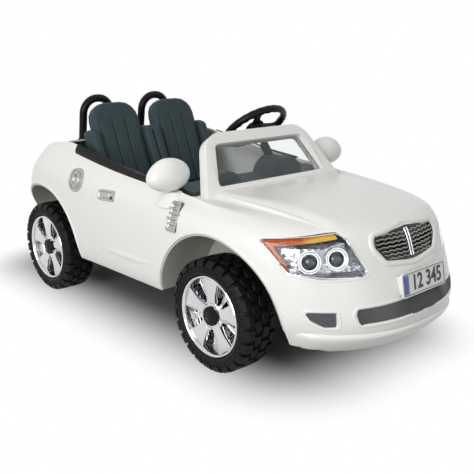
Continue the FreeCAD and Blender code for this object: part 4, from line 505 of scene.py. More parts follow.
class Mould:
    """A bmesh with the operators that the pieces share."""

    def __init__(self) -> None:
        """Starts an empty mesh."""
        self.bm = bmesh.new()

    def fresh(self, before: set[Vert]) -> Verts:
        """Vertices that were added since a set of them was taken."""
        return [vert for vert in self.bm.verts if vert not in before]

    def move(self, verts: Iterable[Vert], matrix: Matrix) -> Verts:
        """Moves vertices by a matrix.

        Args:
            verts: The vertices.
            matrix: The move.

        Returns:
            The same vertices.
        """
        verts = list(verts)
        bmesh.ops.transform(self.bm, matrix=matrix, verts=verts)
        return verts

    def soften(self, geom: list, radius: float, segments: int, affect: str = "EDGES",
               clamp: bool = False) -> None:
        """Rounds edges or corners.

        Args:
            geom: The edges or corners.
            radius: Their radius.
            segments: Steps of each.
            affect: Which of the two they are.
            clamp: Whether a near neighbour holds the radius back.
        """
        bmesh.ops.bevel(self.bm, geom=geom, offset=radius, offset_type="OFFSET", affect=affect,
                        segments=segments, profile=0.5, material=-1, clamp_overlap=clamp)

    def spin(self, points: Sequence[Flat], steps: int = 48, matrix: Matrix = Matrix()) -> Verts:
        """Turns a closed outline once round the X axis.

        Args:
            points: Outline as (along, radius) pairs.
            steps: Steps of the turn.
            matrix: Where the turned shape goes.

        Returns:
            The new vertices.
        """
        before = set(self.bm.verts)
        verts = [self.bm.verts.new((along, 0.0, radius)) for along, radius in points]
        edges = [self.bm.edges.new(ends) for ends in zip(verts, verts[1:] + verts[:1])]
        bmesh.ops.spin(self.bm, geom=verts + edges, cent=(0, 0, 0), axis=X_AXIS, angle=FULL_TURN, steps=steps,
                       use_merge=True)
        return self.move(self.fresh(before), matrix)

    def block(self, size: Size, edge: float, matrix: Matrix, segments: int = 2) -> Verts:
        """Block with soft edges about the origin, moved by a matrix.

        Args:
            size: Its three lengths.
            edge: Radius of its edges.
            matrix: Where it goes.
            segments: Steps of each edge.

        Returns:
            The new vertices.
        """
        before = set(self.bm.verts)
        made = bmesh.ops.create_cube(self.bm, size=1, matrix=Matrix.Diagonal((*size, 1)))
        self.soften(edges_of(made["verts"]), edge, segments)
        return self.move(self.fresh(before), matrix)

    def outline(self, corners: Sequence[Flat], radius: float, segments: int = 6,
                first: int = 0) -> Face:
        """Flat face in the XY plane with rounded corners.

        Args:
            corners: Corners in order.
            radius: Radius at each rounded corner.
            segments: Steps of each corner.
            first: Number of corners at the start that stay sharp.

        Returns:
            The face.
        """
        before = set(self.bm.faces)
        face = self.bm.faces.new([self.bm.verts.new((*corner, 0.0)) for corner in corners])
        if radius:
            self.soften(list(face.verts)[first:], radius, segments, affect="VERTICES")
        return [item for item in self.bm.faces if item not in before][0]

    CORNER_STEPS = 4
    EDGE_ANGLE = 0.6

    def plate(self, corners: Sequence[Flat], sheet: float, radius: float, edge: float,
              matrix: Matrix = Matrix(), sunk: Flat = (0.0, 0.0), segments: int = 2) -> Verts:
        """Plate that stands up from the XY plane.

        Args:
            corners: Corners of its outline.
            sheet: Its thickness.
            radius: Radius of its corners.
            edge: Radius of its upper edge.
            matrix: Where it goes.
            sunk: Inset and depth of a sunk panel on top.
            segments: Steps of the upper edge.

        Returns:
            The new vertices.
        """
        before = set(self.bm.verts)
        face = self.outline(corners, radius, self.CORNER_STEPS)
        made = bmesh.ops.extrude_face_region(self.bm, geom=[face])["geom"]
        top = only(Face, made)[0]
        bmesh.ops.translate(self.bm, vec=(0, 0, sheet), verts=top.verts)
        if sunk[0]:
            inset, depth = sunk
            bmesh.ops.inset_region(self.bm, faces=[top], thickness=inset, use_even_offset=True)
            bmesh.ops.inset_region(self.bm, faces=[top], thickness=depth, depth=-depth, use_even_offset=True)
        rim = [item for item in self.bm.edges if item.verts[0] not in before and not item.is_boundary
               and len(item.link_faces) == 2 and min(vert.co.z for vert in item.verts) > sheet - DOUBLES
               and item.calc_face_angle() > self.EDGE_ANGLE]
        if edge:
            self.soften(rim, edge, segments)
        open_edges = [item for item in self.bm.edges if item.is_boundary and item.verts[0] not in before]
        if open_edges:
            bmesh.ops.holes_fill(self.bm, edges=open_edges, sides=0)
        return self.move(self.fresh(before), matrix)

    def ball(self, radius: float, at: Vector, detail: int) -> None:
        """Small round bead."""
        bmesh.ops.create_icosphere(self.bm, subdivisions=detail, radius=radius, matrix=Matrix.Translation(at))

    def tube(self, points: Sequence[Vector], radius: float, closed: bool = False, sides: int = 2) -> None:
        """Round bar along a line of points.

        Args:
            points: The line.
            radius: Radius of the bar.
            closed: Whether the line comes back to its start.
            sides: Resolution of the round section.
        """
        curve = bpy.data.curves.new("bar", "CURVE")
        curve.dimensions = "3D"
        curve.bevel_depth = radius
        curve.bevel_resolution = sides
        curve.use_fill_caps = True
        spline = curve.splines.new("POLY")
        spline.points.add(len(points) - 1)
        for spot, point in zip(spline.points, points):
            spot.co = (*point, 1)
        spline.use_cyclic_u = closed
        self.take(bpy.data.objects.new("bar", curve))

    def take(self, source: bpy.types.Object) -> Verts:
        """Takes a curve or text object in as a mesh.

        Args:
            source: The object, which is removed.

        Returns:
            The new vertices.
        """
        before = set(self.bm.verts)
        mesh = bpy.data.meshes.new_from_object(source)
        self.bm.from_mesh(mesh)
        data = source.data
        bpy.data.objects.remove(source)
        bpy.data.curves.remove(data)
        bpy.data.meshes.remove(mesh)
        return self.fresh(before)

    def sheet(self, across: int, along: int, place: Callable[[float, float], Vector], wall: float) -> None:
        """Grid laid on a surface and given a wall.

        Args:
            across: Steps across.
            along: Steps along.
            place: Where the grid's point at two shares from 0 to 1 goes.
            wall: Thickness of the wall.
        """
        before = set(self.bm.verts)
        half = 0.5
        bmesh.ops.create_grid(self.bm, x_segments=across, y_segments=along, size=half)
        verts = self.fresh(before)
        for vert in verts:
            vert.co = place(vert.co.x + half, vert.co.y + half)
        bmesh.ops.solidify(self.bm, geom=faces_of(verts), thickness=wall)

    def around(self, verts: Iterable[Vert], count: int) -> None:
        """Repeats a shape evenly round the X axis.

        Args:
            verts: Vertices of the shape.
            count: How many there are in the end.
        """
        verts = list(verts)
        bmesh.ops.spin(self.bm, geom=verts + edges_of(verts) + faces_of(verts), cent=(0, 0, 0), axis=X_AXIS,
                       angle=FULL_TURN * (count - 1) / count, steps=count - 1, use_duplicate=True)

    def twin(self) -> None:
        """Adds the left-hand twin of everything made so far."""
        whole = self.bm.verts[:] + self.bm.edges[:] + self.bm.faces[:]
        copied = bmesh.ops.duplicate(self.bm, geom=whole)["geom"]
        verts = only(Vert, copied)
        faces = only(Face, copied)
        bmesh.ops.scale(self.bm, vec=(-1, 1, 1), verts=verts)
        bmesh.ops.reverse_faces(self.bm, faces=faces)

    def wire(self, thickness: float) -> None:
        """Turns the faces into a net of wires."""
        bmesh.ops.wireframe(self.bm, faces=self.bm.faces[:], thickness=thickness, use_boundary=True,
                            use_even_offset=True, use_replace=True)

    def mesh(self, name: str, crisp: float = CRISP_ANGLE) -> bpy.types.Mesh:
        """Closes the work.

        Args:
            name: Name of the mesh.
            crisp: Angle in degrees past which an edge stays sharp.

        Returns:
            The mesh, with merged doubles, outward faces and smooth shading.
        """
        bmesh.ops.remove_doubles(self.bm, verts=self.bm.verts[:], dist=DOUBLES)
        bmesh.ops.recalc_face_normals(self.bm, faces=self.bm.faces[:])
        mesh = bpy.data.meshes.new(name)
        self.bm.to_mesh(mesh)
        self.bm.free()
        mesh.shade_smooth()
        mesh.set_sharp_from_angle(angle=math.radians(crisp))
        return mesh


@dataclass
class Assembly:
    """Part of the car that fits its own pieces; a plate's sizes are sheet, corner radius and edge radius."""

    palette: Palette

    def fit(self, mould: Mould, name: str, slot: str, finish: str = "", replaces: Sequence[str] = (),
            body: str = CHASSIS, crisp: float = CRISP_ANGLE) -> None:
        """Makes a piece of a mould and puts it on a body.

        Args:
            mould: The shaped mesh.
            name: Name of the piece.
            slot: Slot of the record that it belongs to.
            finish: Finish, where it isn't the slot's own.
            replaces: Nodes that the piece stands for.
            body: Body that it rides on.
            crisp: Angle in degrees past which an edge stays sharp.
        """
        piece = bpy.data.objects.new(name, mould.mesh(name, crisp))
        bpy.context.scene.collection.objects.link(piece)
        piece.data.materials.append(self.palette.materials[finish or slot])
        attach(piece, body)
        if replaces:
            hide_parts(*replaces)
        LOG.info("%s: %d faces on %s", name, len(piece.data.polygons), body)


class Skin:
    """Surface of a node that pieces are laid on."""

    def __init__(self, node: str) -> None:
        """Reads the node's mesh."""
        mesh = frame["nodes"][node].data
        self.tree = BVHTree.FromPolygons([vert.co for vert in mesh.vertices],
                                         [face.vertices for face in mesh.polygons])

    def hit(self, start: Vector, way: Vector) -> tuple[Vector, Vector] | None:
        """Where a line first meets the surface.

        Args:
            start: Start of the line.
            way: Its direction.

        Returns:
            The point and its outward normal, or nothing where the line misses.
        """
        point, normal, _, _ = self.tree.ray_cast(start, way.normalized())
        if point is None:
            return None
        return point, normal if normal.dot(way) < 0 else -normal


class FittedField:
    """Smooth surface fitted to the outward faces of a node, as depth over a view's plane."""

    FACING = 0.5
    DEGREE = 3

    def __init__(self, node: str, out: Vector, right_only: bool = False) -> None:
        """Fits a cubic through the faces.

        Args:
            node: Node to read.
            out: Direction that the view looks back along.
            right_only: Whether only the right side's faces count.
        """
        self.out = out.normalized()
        self.across = self.out.cross(Z_AXIS).normalized() * -1
        faces = frame["nodes"][node].data.polygons
        spots = [face.center.copy() for face in faces
                 if face.normal.dot(self.out) > self.FACING and not (right_only and face.center.x > 0)]
        plane = np.array([(spot.dot(self.across), spot.z) for spot in spots])
        depth = np.array([spot.dot(self.out) for spot in spots])
        self.factors = np.linalg.lstsq(self.terms(plane[:, 0], plane[:, 1]), depth, rcond=None)[0]

    def terms(self, across: np.ndarray, up: np.ndarray) -> np.ndarray:
        """Terms of the cubic at some points."""
        powers = [(i, j) for i in range(self.DEGREE + 1) for j in range(self.DEGREE + 1 - i)]
        return np.stack([across ** i * up ** j for i, j in powers], axis=-1)

    def point(self, across: float, up: float, lift: float = 0.0) -> Vector:
        """Point of the surface, lifted off it.

        Args:
            across: Place across the view.
            up: Height.
            lift: Distance in front of the surface.

        Returns:
            The point.
        """
        depth = float(self.terms(np.array([across]), np.array([up]))[0] @ self.factors)
        return self.across * across + Z_AXIS * up + self.out * (depth + lift)


def panel(left: float, low: float, right: float, high: float) -> list[Flat]:
    """Corners of an upright rectangle."""
    return [(left, low), (right, low), (right, high), (left, high)]


def rectangle(half_wide: float, half_tall: float) -> list[Flat]:
    """Corners of a rectangle about the origin."""
    return panel(-half_wide, -half_tall, half_wide, half_tall)


def rounded(corners: Sequence[Flat], radius: float, segments: int = 6) -> list[Flat]:
    """Points round an outline with rounded corners.

    Args:
        corners: Corners in order.
        radius: Radius at each corner.
        segments: Steps of each corner.

    Returns:
        The points in order.
    """
    mould = Mould()
    face = mould.outline(corners, radius, segments)
    points = [(vert.co.x, vert.co.y) for vert in face.verts]
    mould.bm.free()
    return points


def filleted(corners: Sequence[Flat], radius: float, segments: int = 8) -> list[Flat]:
    """Points round an outline whose corners are arcs of one radius.

    Args:
        corners: Corners in order.
        radius: Radius of every arc.
        segments: Steps of each arc.

    Returns:
        The points in order.
    """
    points = []
    for i, corner in enumerate(corners):
        here = Vector(corner)
        back = (Vector(corners[i - 1]) - here).normalized()
        ahead = (Vector(corners[(i + 1) % len(corners)]) - here).normalized()
        half = back.angle(ahead) / 2
        run = radius / math.tan(half)
        middle = here + (back + ahead).normalized() * (radius / math.sin(half))
        for step in range(segments + 1):
            chord = (here + back * run).lerp(here + ahead * run, step / segments)
            spot = middle + (chord - middle).normalized() * radius
            points.append((spot.x, spot.y))
    return points


def finer(points: Sequence[Flat], step: float, closed: bool = True) -> list[Flat]:
    """Points of a line with extra ones on its long runs.

    Args:
        points: The line.
        step: Longest run that stays whole.
        closed: Whether the line comes back to its start.

    Returns:
        The finer line.
    """
    line = []
    ends = list(points[1:]) + ([points[0]] if closed else [])
    for start, end in zip(points, ends):
        count = max(1, math.ceil(math.dist(start, end) / step))
        rise, run = end[1] - start[1], end[0] - start[0]
        line += [(start[0] + run * i / count, start[1] + rise * i / count) for i in range(count)]
    return line if closed else line + [points[-1]]


def grown(points: Sequence[Flat], margin: float) -> list[Flat]:
    """Outline moved away from its middle.

    Args:
        points: The outline.
        margin: How far each point moves.

    Returns:
        The moved points.
    """
    middle = [sum(point[i] for point in points) / len(points) for i in (0, 1)]
    spread = []
    for point in points:
        reach = math.dist(point, middle)
        spread.append(tuple(middle[i] + (point[i] - middle[i]) * (1 + margin / reach) for i in (0, 1)))
    return spread


def inside(points: Sequence[Flat], x: float, y: float) -> bool:
    """Whether a spot lies inside an outline.

    Args:
        points: The outline.
        x: First coordinate of the spot.
        y: Its second coordinate.

    Returns:
        True inside.
    """
    found = False
    for (x0, y0), (x1, y1) in zip(points, list(points[1:]) + [points[0]]):
        if (y0 > y) != (y1 > y) and x < (x1 - x0) * (y - y0) / (y1 - y0) + x0:
            found = not found
    return found


def moved(x: float, y: float, z: float) -> Matrix:
    """Placement at a spot."""
    return Matrix.Translation((x, y, z))


def turned(degrees: float, axis: str) -> Matrix:
    """Turn about an axis."""
    return Matrix.Rotation(math.radians(degrees), 4, axis)


def frame_on(origin: Vector, out: Vector, level: Vector) -> Matrix:
    """Placement whose Z axis points outwards and whose X axis runs level.

    Args:
        origin: Its origin.
        out: Outward direction.
        level: Direction that its X axis keeps close to.

    Returns:
        The placement.
    """
    out = out.normalized()
    up = out.cross(level).normalized()
    matrix = Matrix((up.cross(out), up, out)).transposed().to_4x4()
    matrix.translation = origin
    return matrix


def axis_on(origin: Vector, out: Vector) -> Matrix:
    """Placement whose X axis points outwards, for turned shapes."""
    return frame_on(origin, out, Z_AXIS) @ X_TO_UP


def facing_x(along: float = 0.0) -> Matrix:
    """Placement that stands a flat shape up across the X axis, some way along it."""
    return Matrix(((0, 0, 1, along), (1, 0, 0, 0), (0, 1, 0, 0), (0, 0, 0, 1)))


def node_front(node: str, way: Vector, right_only: bool = True) -> tuple[Vector, Vector]:
    """Middle and direction of the faces of a node that look one way.

    Args:
        node: Node to read.
        way: Way that the faces look.
        right_only: Whether only the right side's faces count.

    Returns:
        The area-weighted middle and normal.
    """
    facing = 0.8
    middle, normal, total = Vector(), Vector(), 0.0
    for face in frame["nodes"][node].data.polygons:
        if face.normal.dot(way) > facing and not (right_only and face.center.x > 0):
            middle += face.center * face.area
            normal += face.normal * face.area
            total += face.area
    return middle / total, normal.normalized()


# Wheels


@dataclass
class Wheel(Assembly):
    """One road wheel: treaded tyre, plated rim and dark cap, outward along its own X axis.

    Turned outlines are (along, radius) pairs, and flat ones are (across, out from the axle).
    """

    end: End
    side: Side
    steps: int = 72
    hub_steps: int = 48
    sidewall: Outline = (
        (0.0, 0.1375), (0.026, 0.1375), (0.038, 0.1355), (0.0445, 0.13), (0.0475, 0.1235), (0.049, 0.118),
        (0.0492, 0.1165), (0.0478, 0.1158), (0.0478, 0.1142), (0.0494, 0.1134), (0.0492, 0.11),
        (0.0472, 0.1066), (0.044, 0.1043), (0.04, 0.1033))
    blocks: int = 24
    block: Size = (0.02, 0.026, 0.01)
    block_edge: float = 0.0016
    block_top: float = 0.1443
    block_row: float = 0.0125
    block_slant: float = 14.0
    block_shift: float = 0.25
    lug: Outline = (
        (0.0255, 0.134), (0.0255, 0.144), (0.04, 0.1428), (0.0468, 0.1365), (0.049, 0.1265),
        (0.044, 0.1262))
    lug_width: float = 0.025
    lug_shift: float = 0.22
    rib: Size = (0.0016, 0.006, 0.004)
    rib_edge: float = 0.0005
    rib_spot: Flat = (0.0492, 0.1215)
    barrel: Outline = (
        (0.043, 0.1034), (0.0458, 0.103), (0.0474, 0.1012), (0.0474, 0.099), (0.0455, 0.0968),
        (0.0425, 0.0956), (0.038, 0.0948), (0.03, 0.0925), (0.012, 0.0905), (-0.04, 0.09),
        (-0.045, 0.0985), (-0.045, 0.103), (-0.04, 0.1034), (-0.03, 0.099), (0.03, 0.099))
    hub: Outline = ((0.016, 0.0), (0.016, 0.038), (0.0335, 0.038), (0.0365, 0.0345), (0.0365, 0.0))
    spokes: int = 5
    spoke: Outline = (
        (-0.0142, 0.03), (-0.0165, 0.056), (-0.029, 0.094), (0.029, 0.094), (0.0165, 0.056),
        (0.0142, 0.03))
    spoke_along: float = 0.026
    spoke_plate: Size = (0.011, 0.0, 0.0016)
    spoke_sunk: Flat = (0.0042, 0.0022)
    spoke_lean: Flat = (0.055, -0.001)
    behind: float = 0.013
    fin: Outline = ((-0.004, 0.034), (-0.0095, 0.0915), (0.0095, 0.0915), (0.004, 0.034))
    fin_plate: Size = (0.01, 0.0, 0.001)
    bars: Outline = ((0.056, 0.061), (0.069, 0.075), (0.082, 0.089))
    bar_halves: Flat = (0.024, 0.026)
    bar_plate: Size = (0.006, 0.0, 0.001)
    nut: Size = (0.003, 0.0026, 0.005)
    nut_spot: Flat = (0.0375, 0.0305)
    well: Outline = (
        (0.0, 0.0), (0.0, 0.0898), (0.004, 0.0898), (0.004, 0.07), (0.009, 0.066), (0.009, 0.0))
    cap: Outline = (
        (0.034, 0.0), (0.034, 0.0245), (0.0405, 0.0245), (0.0432, 0.0228), (0.0432, 0.0188), (0.042, 0.018),
        (0.042, 0.0166), (0.0436, 0.0158), (0.0452, 0.0105), (0.046, 0.0045), (0.0462, 0.0))
    rim_crisp: float = 30.0

    @property
    def tag(self) -> str:
        """End and side, as in the node names."""
        return f"{self.end.value}_{self.side.label}"

    def placement(self) -> Matrix:
        """Where the wheel's own frame sits on the car.

        Returns:
            The placement.
        """
        low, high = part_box(f"tyre_{self.tag}")
        turn = Matrix.Rotation(math.pi if self.side is Side.RIGHT else 0.0, 4, "Z")
        return Matrix.Translation((low + high) / 2) @ turn

    def tyre(self) -> Mould:
        """Carcass with a ring groove, two rows of centre blocks and shoulder lugs.

        Returns:
            The shaped mesh.
        """
        mould = Mould()
        half = list(self.sidewall)
        mould.spin(half + [(-along, radius) for along, radius in reversed(half[1:])], self.steps)
        pitch = FULL_TURN / self.blocks
        sideways = Matrix(((1, 0, 0, 0), (0, 0, 1, 0), (0, 1, 0, 0), (0, 0, 0, 1)))
        for sign in (-1, 1):
            shift = Matrix.Rotation(pitch * self.block_shift * sign, 4, "X")
            slant = turned(self.block_slant * sign, "Z")
            middle = moved(self.block_row * sign, 0, self.block_top - self.block[2] / 2)
            mould.around(mould.block(self.block, self.block_edge, shift @ middle @ slant, 1), self.blocks)
            shift = Matrix.Rotation(-pitch * self.lug_shift * sign, 4, "X")
            flip = Matrix.Diagonal((sign, 1, 1, 1))
            centre = moved(0, -self.lug_width / 2, 0)
            lug = mould.plate(self.lug, self.lug_width, 0.0, 0.0, shift @ flip @ centre @ sideways)
            mould.around(lug, self.blocks)
            spot = moved(self.rib_spot[0] * sign, 0, self.rib_spot[1])
            mould.around(mould.block(self.rib, self.rib_edge, spot, 1), self.blocks * 2)
        return mould

    def rim(self) -> Mould:
        """Barrel with a rolled lip, broad flared spokes, fins between them, hub and nuts.

        Returns:
            The shaped mesh.
        """
        mould = Mould()
        mould.spin(self.barrel, self.steps)
        mould.spin(self.hub, self.hub_steps)
        upright = facing_x(self.spoke_along)
        slope, back = self.spoke_lean
        lean = Matrix(((1, 0, slope, back), (0, 1, 0, 0), (0, 0, 1, 0), (0, 0, 0, 1)))
        spoke = mould.plate(self.spoke, *self.spoke_plate, lean @ upright, sunk=self.spoke_sunk)
        mould.around(spoke, self.spokes)
        between = Matrix.Rotation(math.pi / self.spokes, 4, "X")
        deep = between @ moved(-self.behind, 0, 0) @ upright
        mould.around(mould.plate(self.fin, *self.fin_plate, deep), self.spokes)
        inner, outer = self.bar_halves
        for low, high in self.bars:
            bar = [(-inner, low), (-outer, high), (outer, high), (inner, low)]
            mould.around(mould.plate(bar, *self.bar_plate, deep), self.spokes)
        before = set(mould.bm.verts)
        foot, top, tall = self.nut
        bmesh.ops.create_cone(mould.bm, cap_ends=True, segments=6, radius1=foot, radius2=top, depth=tall)
        spot = moved(self.nut_spot[0], 0, self.nut_spot[1])
        seat = between @ spot @ turned(90, "Y")
        mould.around(mould.move(mould.fresh(before), seat), self.spokes)
        return mould

    def build(self) -> None:
        """Builds and dresses the wheel's pieces."""
        place, body = self.placement(), f"wheel_{self.tag}"
        tyre = self.tyre()
        tyre.move(tyre.bm.verts, place)
        self.fit(tyre, f"treaded_tyre_{self.tag}", "tyre", replaces=[f"tyre_{self.tag}"], body=body)
        rim = self.rim()
        rim.move(rim.bm.verts, place)
        self.fit(rim, f"spoked_rim_{self.tag}", "rim_chrome", replaces=[f"rim_{self.tag}"], body=body,
                 crisp=self.rim_crisp)
        well = Mould()
        well.spin(self.well, self.hub_steps, place)
        # The well behind the spokes wears darker chrome as painted shade and painted reflections
        self.fit(well, f"rim_well_{self.tag}", "rim_chrome", "well_chrome_painted_shade", body=body)
        cap = Mould()
        cap.spin(self.cap, self.hub_steps, place)
        self.fit(cap, f"ringed_cap_{self.tag}", "trim_black", replaces=[f"hub_cap_{self.tag}"], body=body)


# Nose


@dataclass
class Opening:
    """A rounded opening of the nose, as corners of (across, up)."""

    corners: Outline
    radius: float

    def line(self, margin: float = 0.0, step: float = 0.012) -> list[Flat]:
        """Fine line round the opening, grown by a margin."""
        points = finer(filleted(self.corners, self.radius), step)
        return grown(points, margin) if margin else points

    def reach(self, up: float, limit: float = 0.3, step: float = 0.001) -> float:
        """Half width at a height, of an opening about the car's middle.

        Args:
            up: The height.
            limit: Where the search ends.
            step: Step of the search.

        Returns:
            The half width.
        """
        points = self.line()
        across = 0.0
        while across < limit and inside(points, across, up):
            across += step
        return across


GRILLE = Opening((
    (-0.138, 0.372), (0, 0.381), (0.138, 0.372), (0.088, 0.313), (0, 0.308), (-0.088, 0.313)), 0.021)
LOWER_GRILLE = Opening((
    (-0.194, 0.227), (-0.09, 0.231), (0, 0.235), (0.09, 0.231), (0.194, 0.227),
    (0.184, 0.185), (0.09, 0.188), (0, 0.193), (-0.09, 0.188), (-0.184, 0.185)), 0.016)
FOG_VENT = Opening((
    (-0.273, 0.217), (-0.223, 0.219), (-0.223, 0.183), (-0.243, 0.182), (-0.263, 0.196)), 0.005)
HEADLAMP = Opening((
    (0.001, 0.37), (0.172, 0.387), (0.196, 0.372), (0.24, 0.3), (0.226, 0.29), (0.138, 0.29),
    (0.06, 0.298)), 0.007)
TAIL_LAMP = Opening(((0.185, 0.372), (0.282, 0.384), (0.29, 0.326), (0.2, 0.316)), 0.007)
LAMP_TURN = math.radians(33)
LAMP_OUT = Vector((-math.sin(LAMP_TURN), -math.cos(LAMP_TURN), 0))


@dataclass
class Nose(Assembly):
    """Grilles and vents of the nose."""

    slats: int = 7
    slat_foot: float = 0.3165
    slat_pitch: float = 0.0086
    slat_radius: float = 0.0019
    slat_gaps: Flat = (0.008, 0.003)
    slat_step: float = 0.0035
    slat_rise: float = 0.02
    slat_lift: float = 0.001
    wave: float = 0.0011
    wave_rate: float = 300.0
    spine_half: float = 0.0046
    spine_foot: float = 0.312
    spine_height: float = 0.066
    spine_lift: float = 0.0016
    spine_radius: float = 0.0021
    spine_steps: int = 14
    net_pitch: float = 0.0062
    net_wire: float = 0.0016
    net_gap: float = 0.001
    net_lift: float = 0.0014
    vent_lift: float = 0.001
    grille_rim: Flat = (0.0032, 0.004)
    lower_rim: Flat = (0.0022, 0.002)
    rim_lift: float = 0.001

    def slatted(self, surface: FittedField) -> Mould:
        """Wavy slats each side of the middle.

        Args:
            surface: Surface that they follow.

        Returns:
            The shaped mesh.
        """
        mould = Mould()
        start, gap = self.slat_gaps
        for row in range(self.slats):
            up = self.slat_foot + self.slat_pitch * row
            end = GRILLE.reach(up) - gap
            count = int(end / self.slat_step)
            for sign in (-1, 1):
                line = []
                for step in range(count + 1):
                    across = start + (end - start) * step / count
                    rise = self.wave * math.sin(across * self.wave_rate) + self.slat_rise * across
                    lift = self.slat_lift + self.wave * math.cos(across * self.wave_rate)
                    line.append(surface.point(sign * across, up + rise, lift))
                mould.tube(line, self.slat_radius)
        return mould

    def spine(self, surface: FittedField) -> Mould:
        """Plated bars down the middle of the grille.

        Args:
            surface: Surface that they follow.

        Returns:
            The shaped mesh.
        """
        mould = Mould()
        heights = [self.spine_foot + self.spine_height * i / self.spine_steps
                   for i in range(self.spine_steps + 1)]
        for across in (-self.spine_half, self.spine_half):
            line = [surface.point(across, up, self.spine_lift) for up in heights]
            mould.tube(line, self.spine_radius, sides=3)
        return mould

    def net(self, opening: Opening, surface: FittedField, lift: float) -> Mould:
        """Net of diagonal wires across an opening.

        Args:
            opening: The opening that the net fills.
            surface: Surface that it follows.
            lift: How far it stands off the surface.

        Returns:
            The shaped mesh.
        """
        mould = Mould()
        points = opening.line(-self.net_gap)
        low = [min(point[i] for point in points) for i in (0, 1)]
        high = [max(point[i] for point in points) for i in (0, 1)]
        reach = (high[0] - low[0] + high[1] - low[1]) / 2
        count = int(2 * reach / self.net_pitch)
        bmesh.ops.create_grid(mould.bm, x_segments=count, y_segments=count, size=reach)
        bmesh.ops.rotate(mould.bm, verts=mould.bm.verts[:], cent=(0, 0, 0),
                         matrix=Matrix.Rotation(math.pi / 4, 3, "Z"))
        middle = ((low[0] + high[0]) / 2, (low[1] + high[1]) / 2)
        outside = []
        for vert in mould.bm.verts:
            across, up = middle[0] + vert.co.x, middle[1] + vert.co.y
            if inside(points, across, up):
                vert.co = surface.point(across, up, lift)
            else:
                outside.append(vert)
        bmesh.ops.delete(mould.bm, geom=outside, context="VERTS")
        mould.wire(self.net_wire)
        return mould

    def rim(self, opening: Opening, surface: FittedField, radius: float, inset: float) -> Mould:
        """Round bead just inside an opening.

        Args:
            opening: The opening.
            surface: Surface that the bead follows.
            radius: Radius of the bead.
            inset: How far inside the opening it runs.

        Returns:
            The shaped mesh.
        """
        mould = Mould()
        line = [surface.point(*spot, self.rim_lift) for spot in opening.line(-inset, BEAD_STEP)]
        mould.tube(line, radius, closed=True)
        return mould

    def build(self) -> None:
        """Builds and dresses the grilles and vents."""
        upper, lower = FittedField("grille", AHEAD), FittedField("lower_grille", AHEAD)
        vents = FittedField("fog_vents", AHEAD, right_only=True)
        self.fit(self.slatted(upper), "grille_slats", "grille_dark", "slat_metal")
        self.fit(self.spine(upper), "grille_spine", "grille_dark", "rim_chrome")
        self.fit(self.rim(GRILLE, upper, *self.grille_rim), "grille_rim", "grille_dark")
        self.fit(self.net(LOWER_GRILLE, lower, self.net_lift), "lower_grille_net", "mesh_grey")
        self.fit(self.rim(LOWER_GRILLE, lower, *self.lower_rim), "lower_grille_rim", "mesh_grey")
        net = self.net(FOG_VENT, vents, self.vent_lift)
        net.twin()
        self.fit(net, "fog_vent_nets", "mesh_grey")


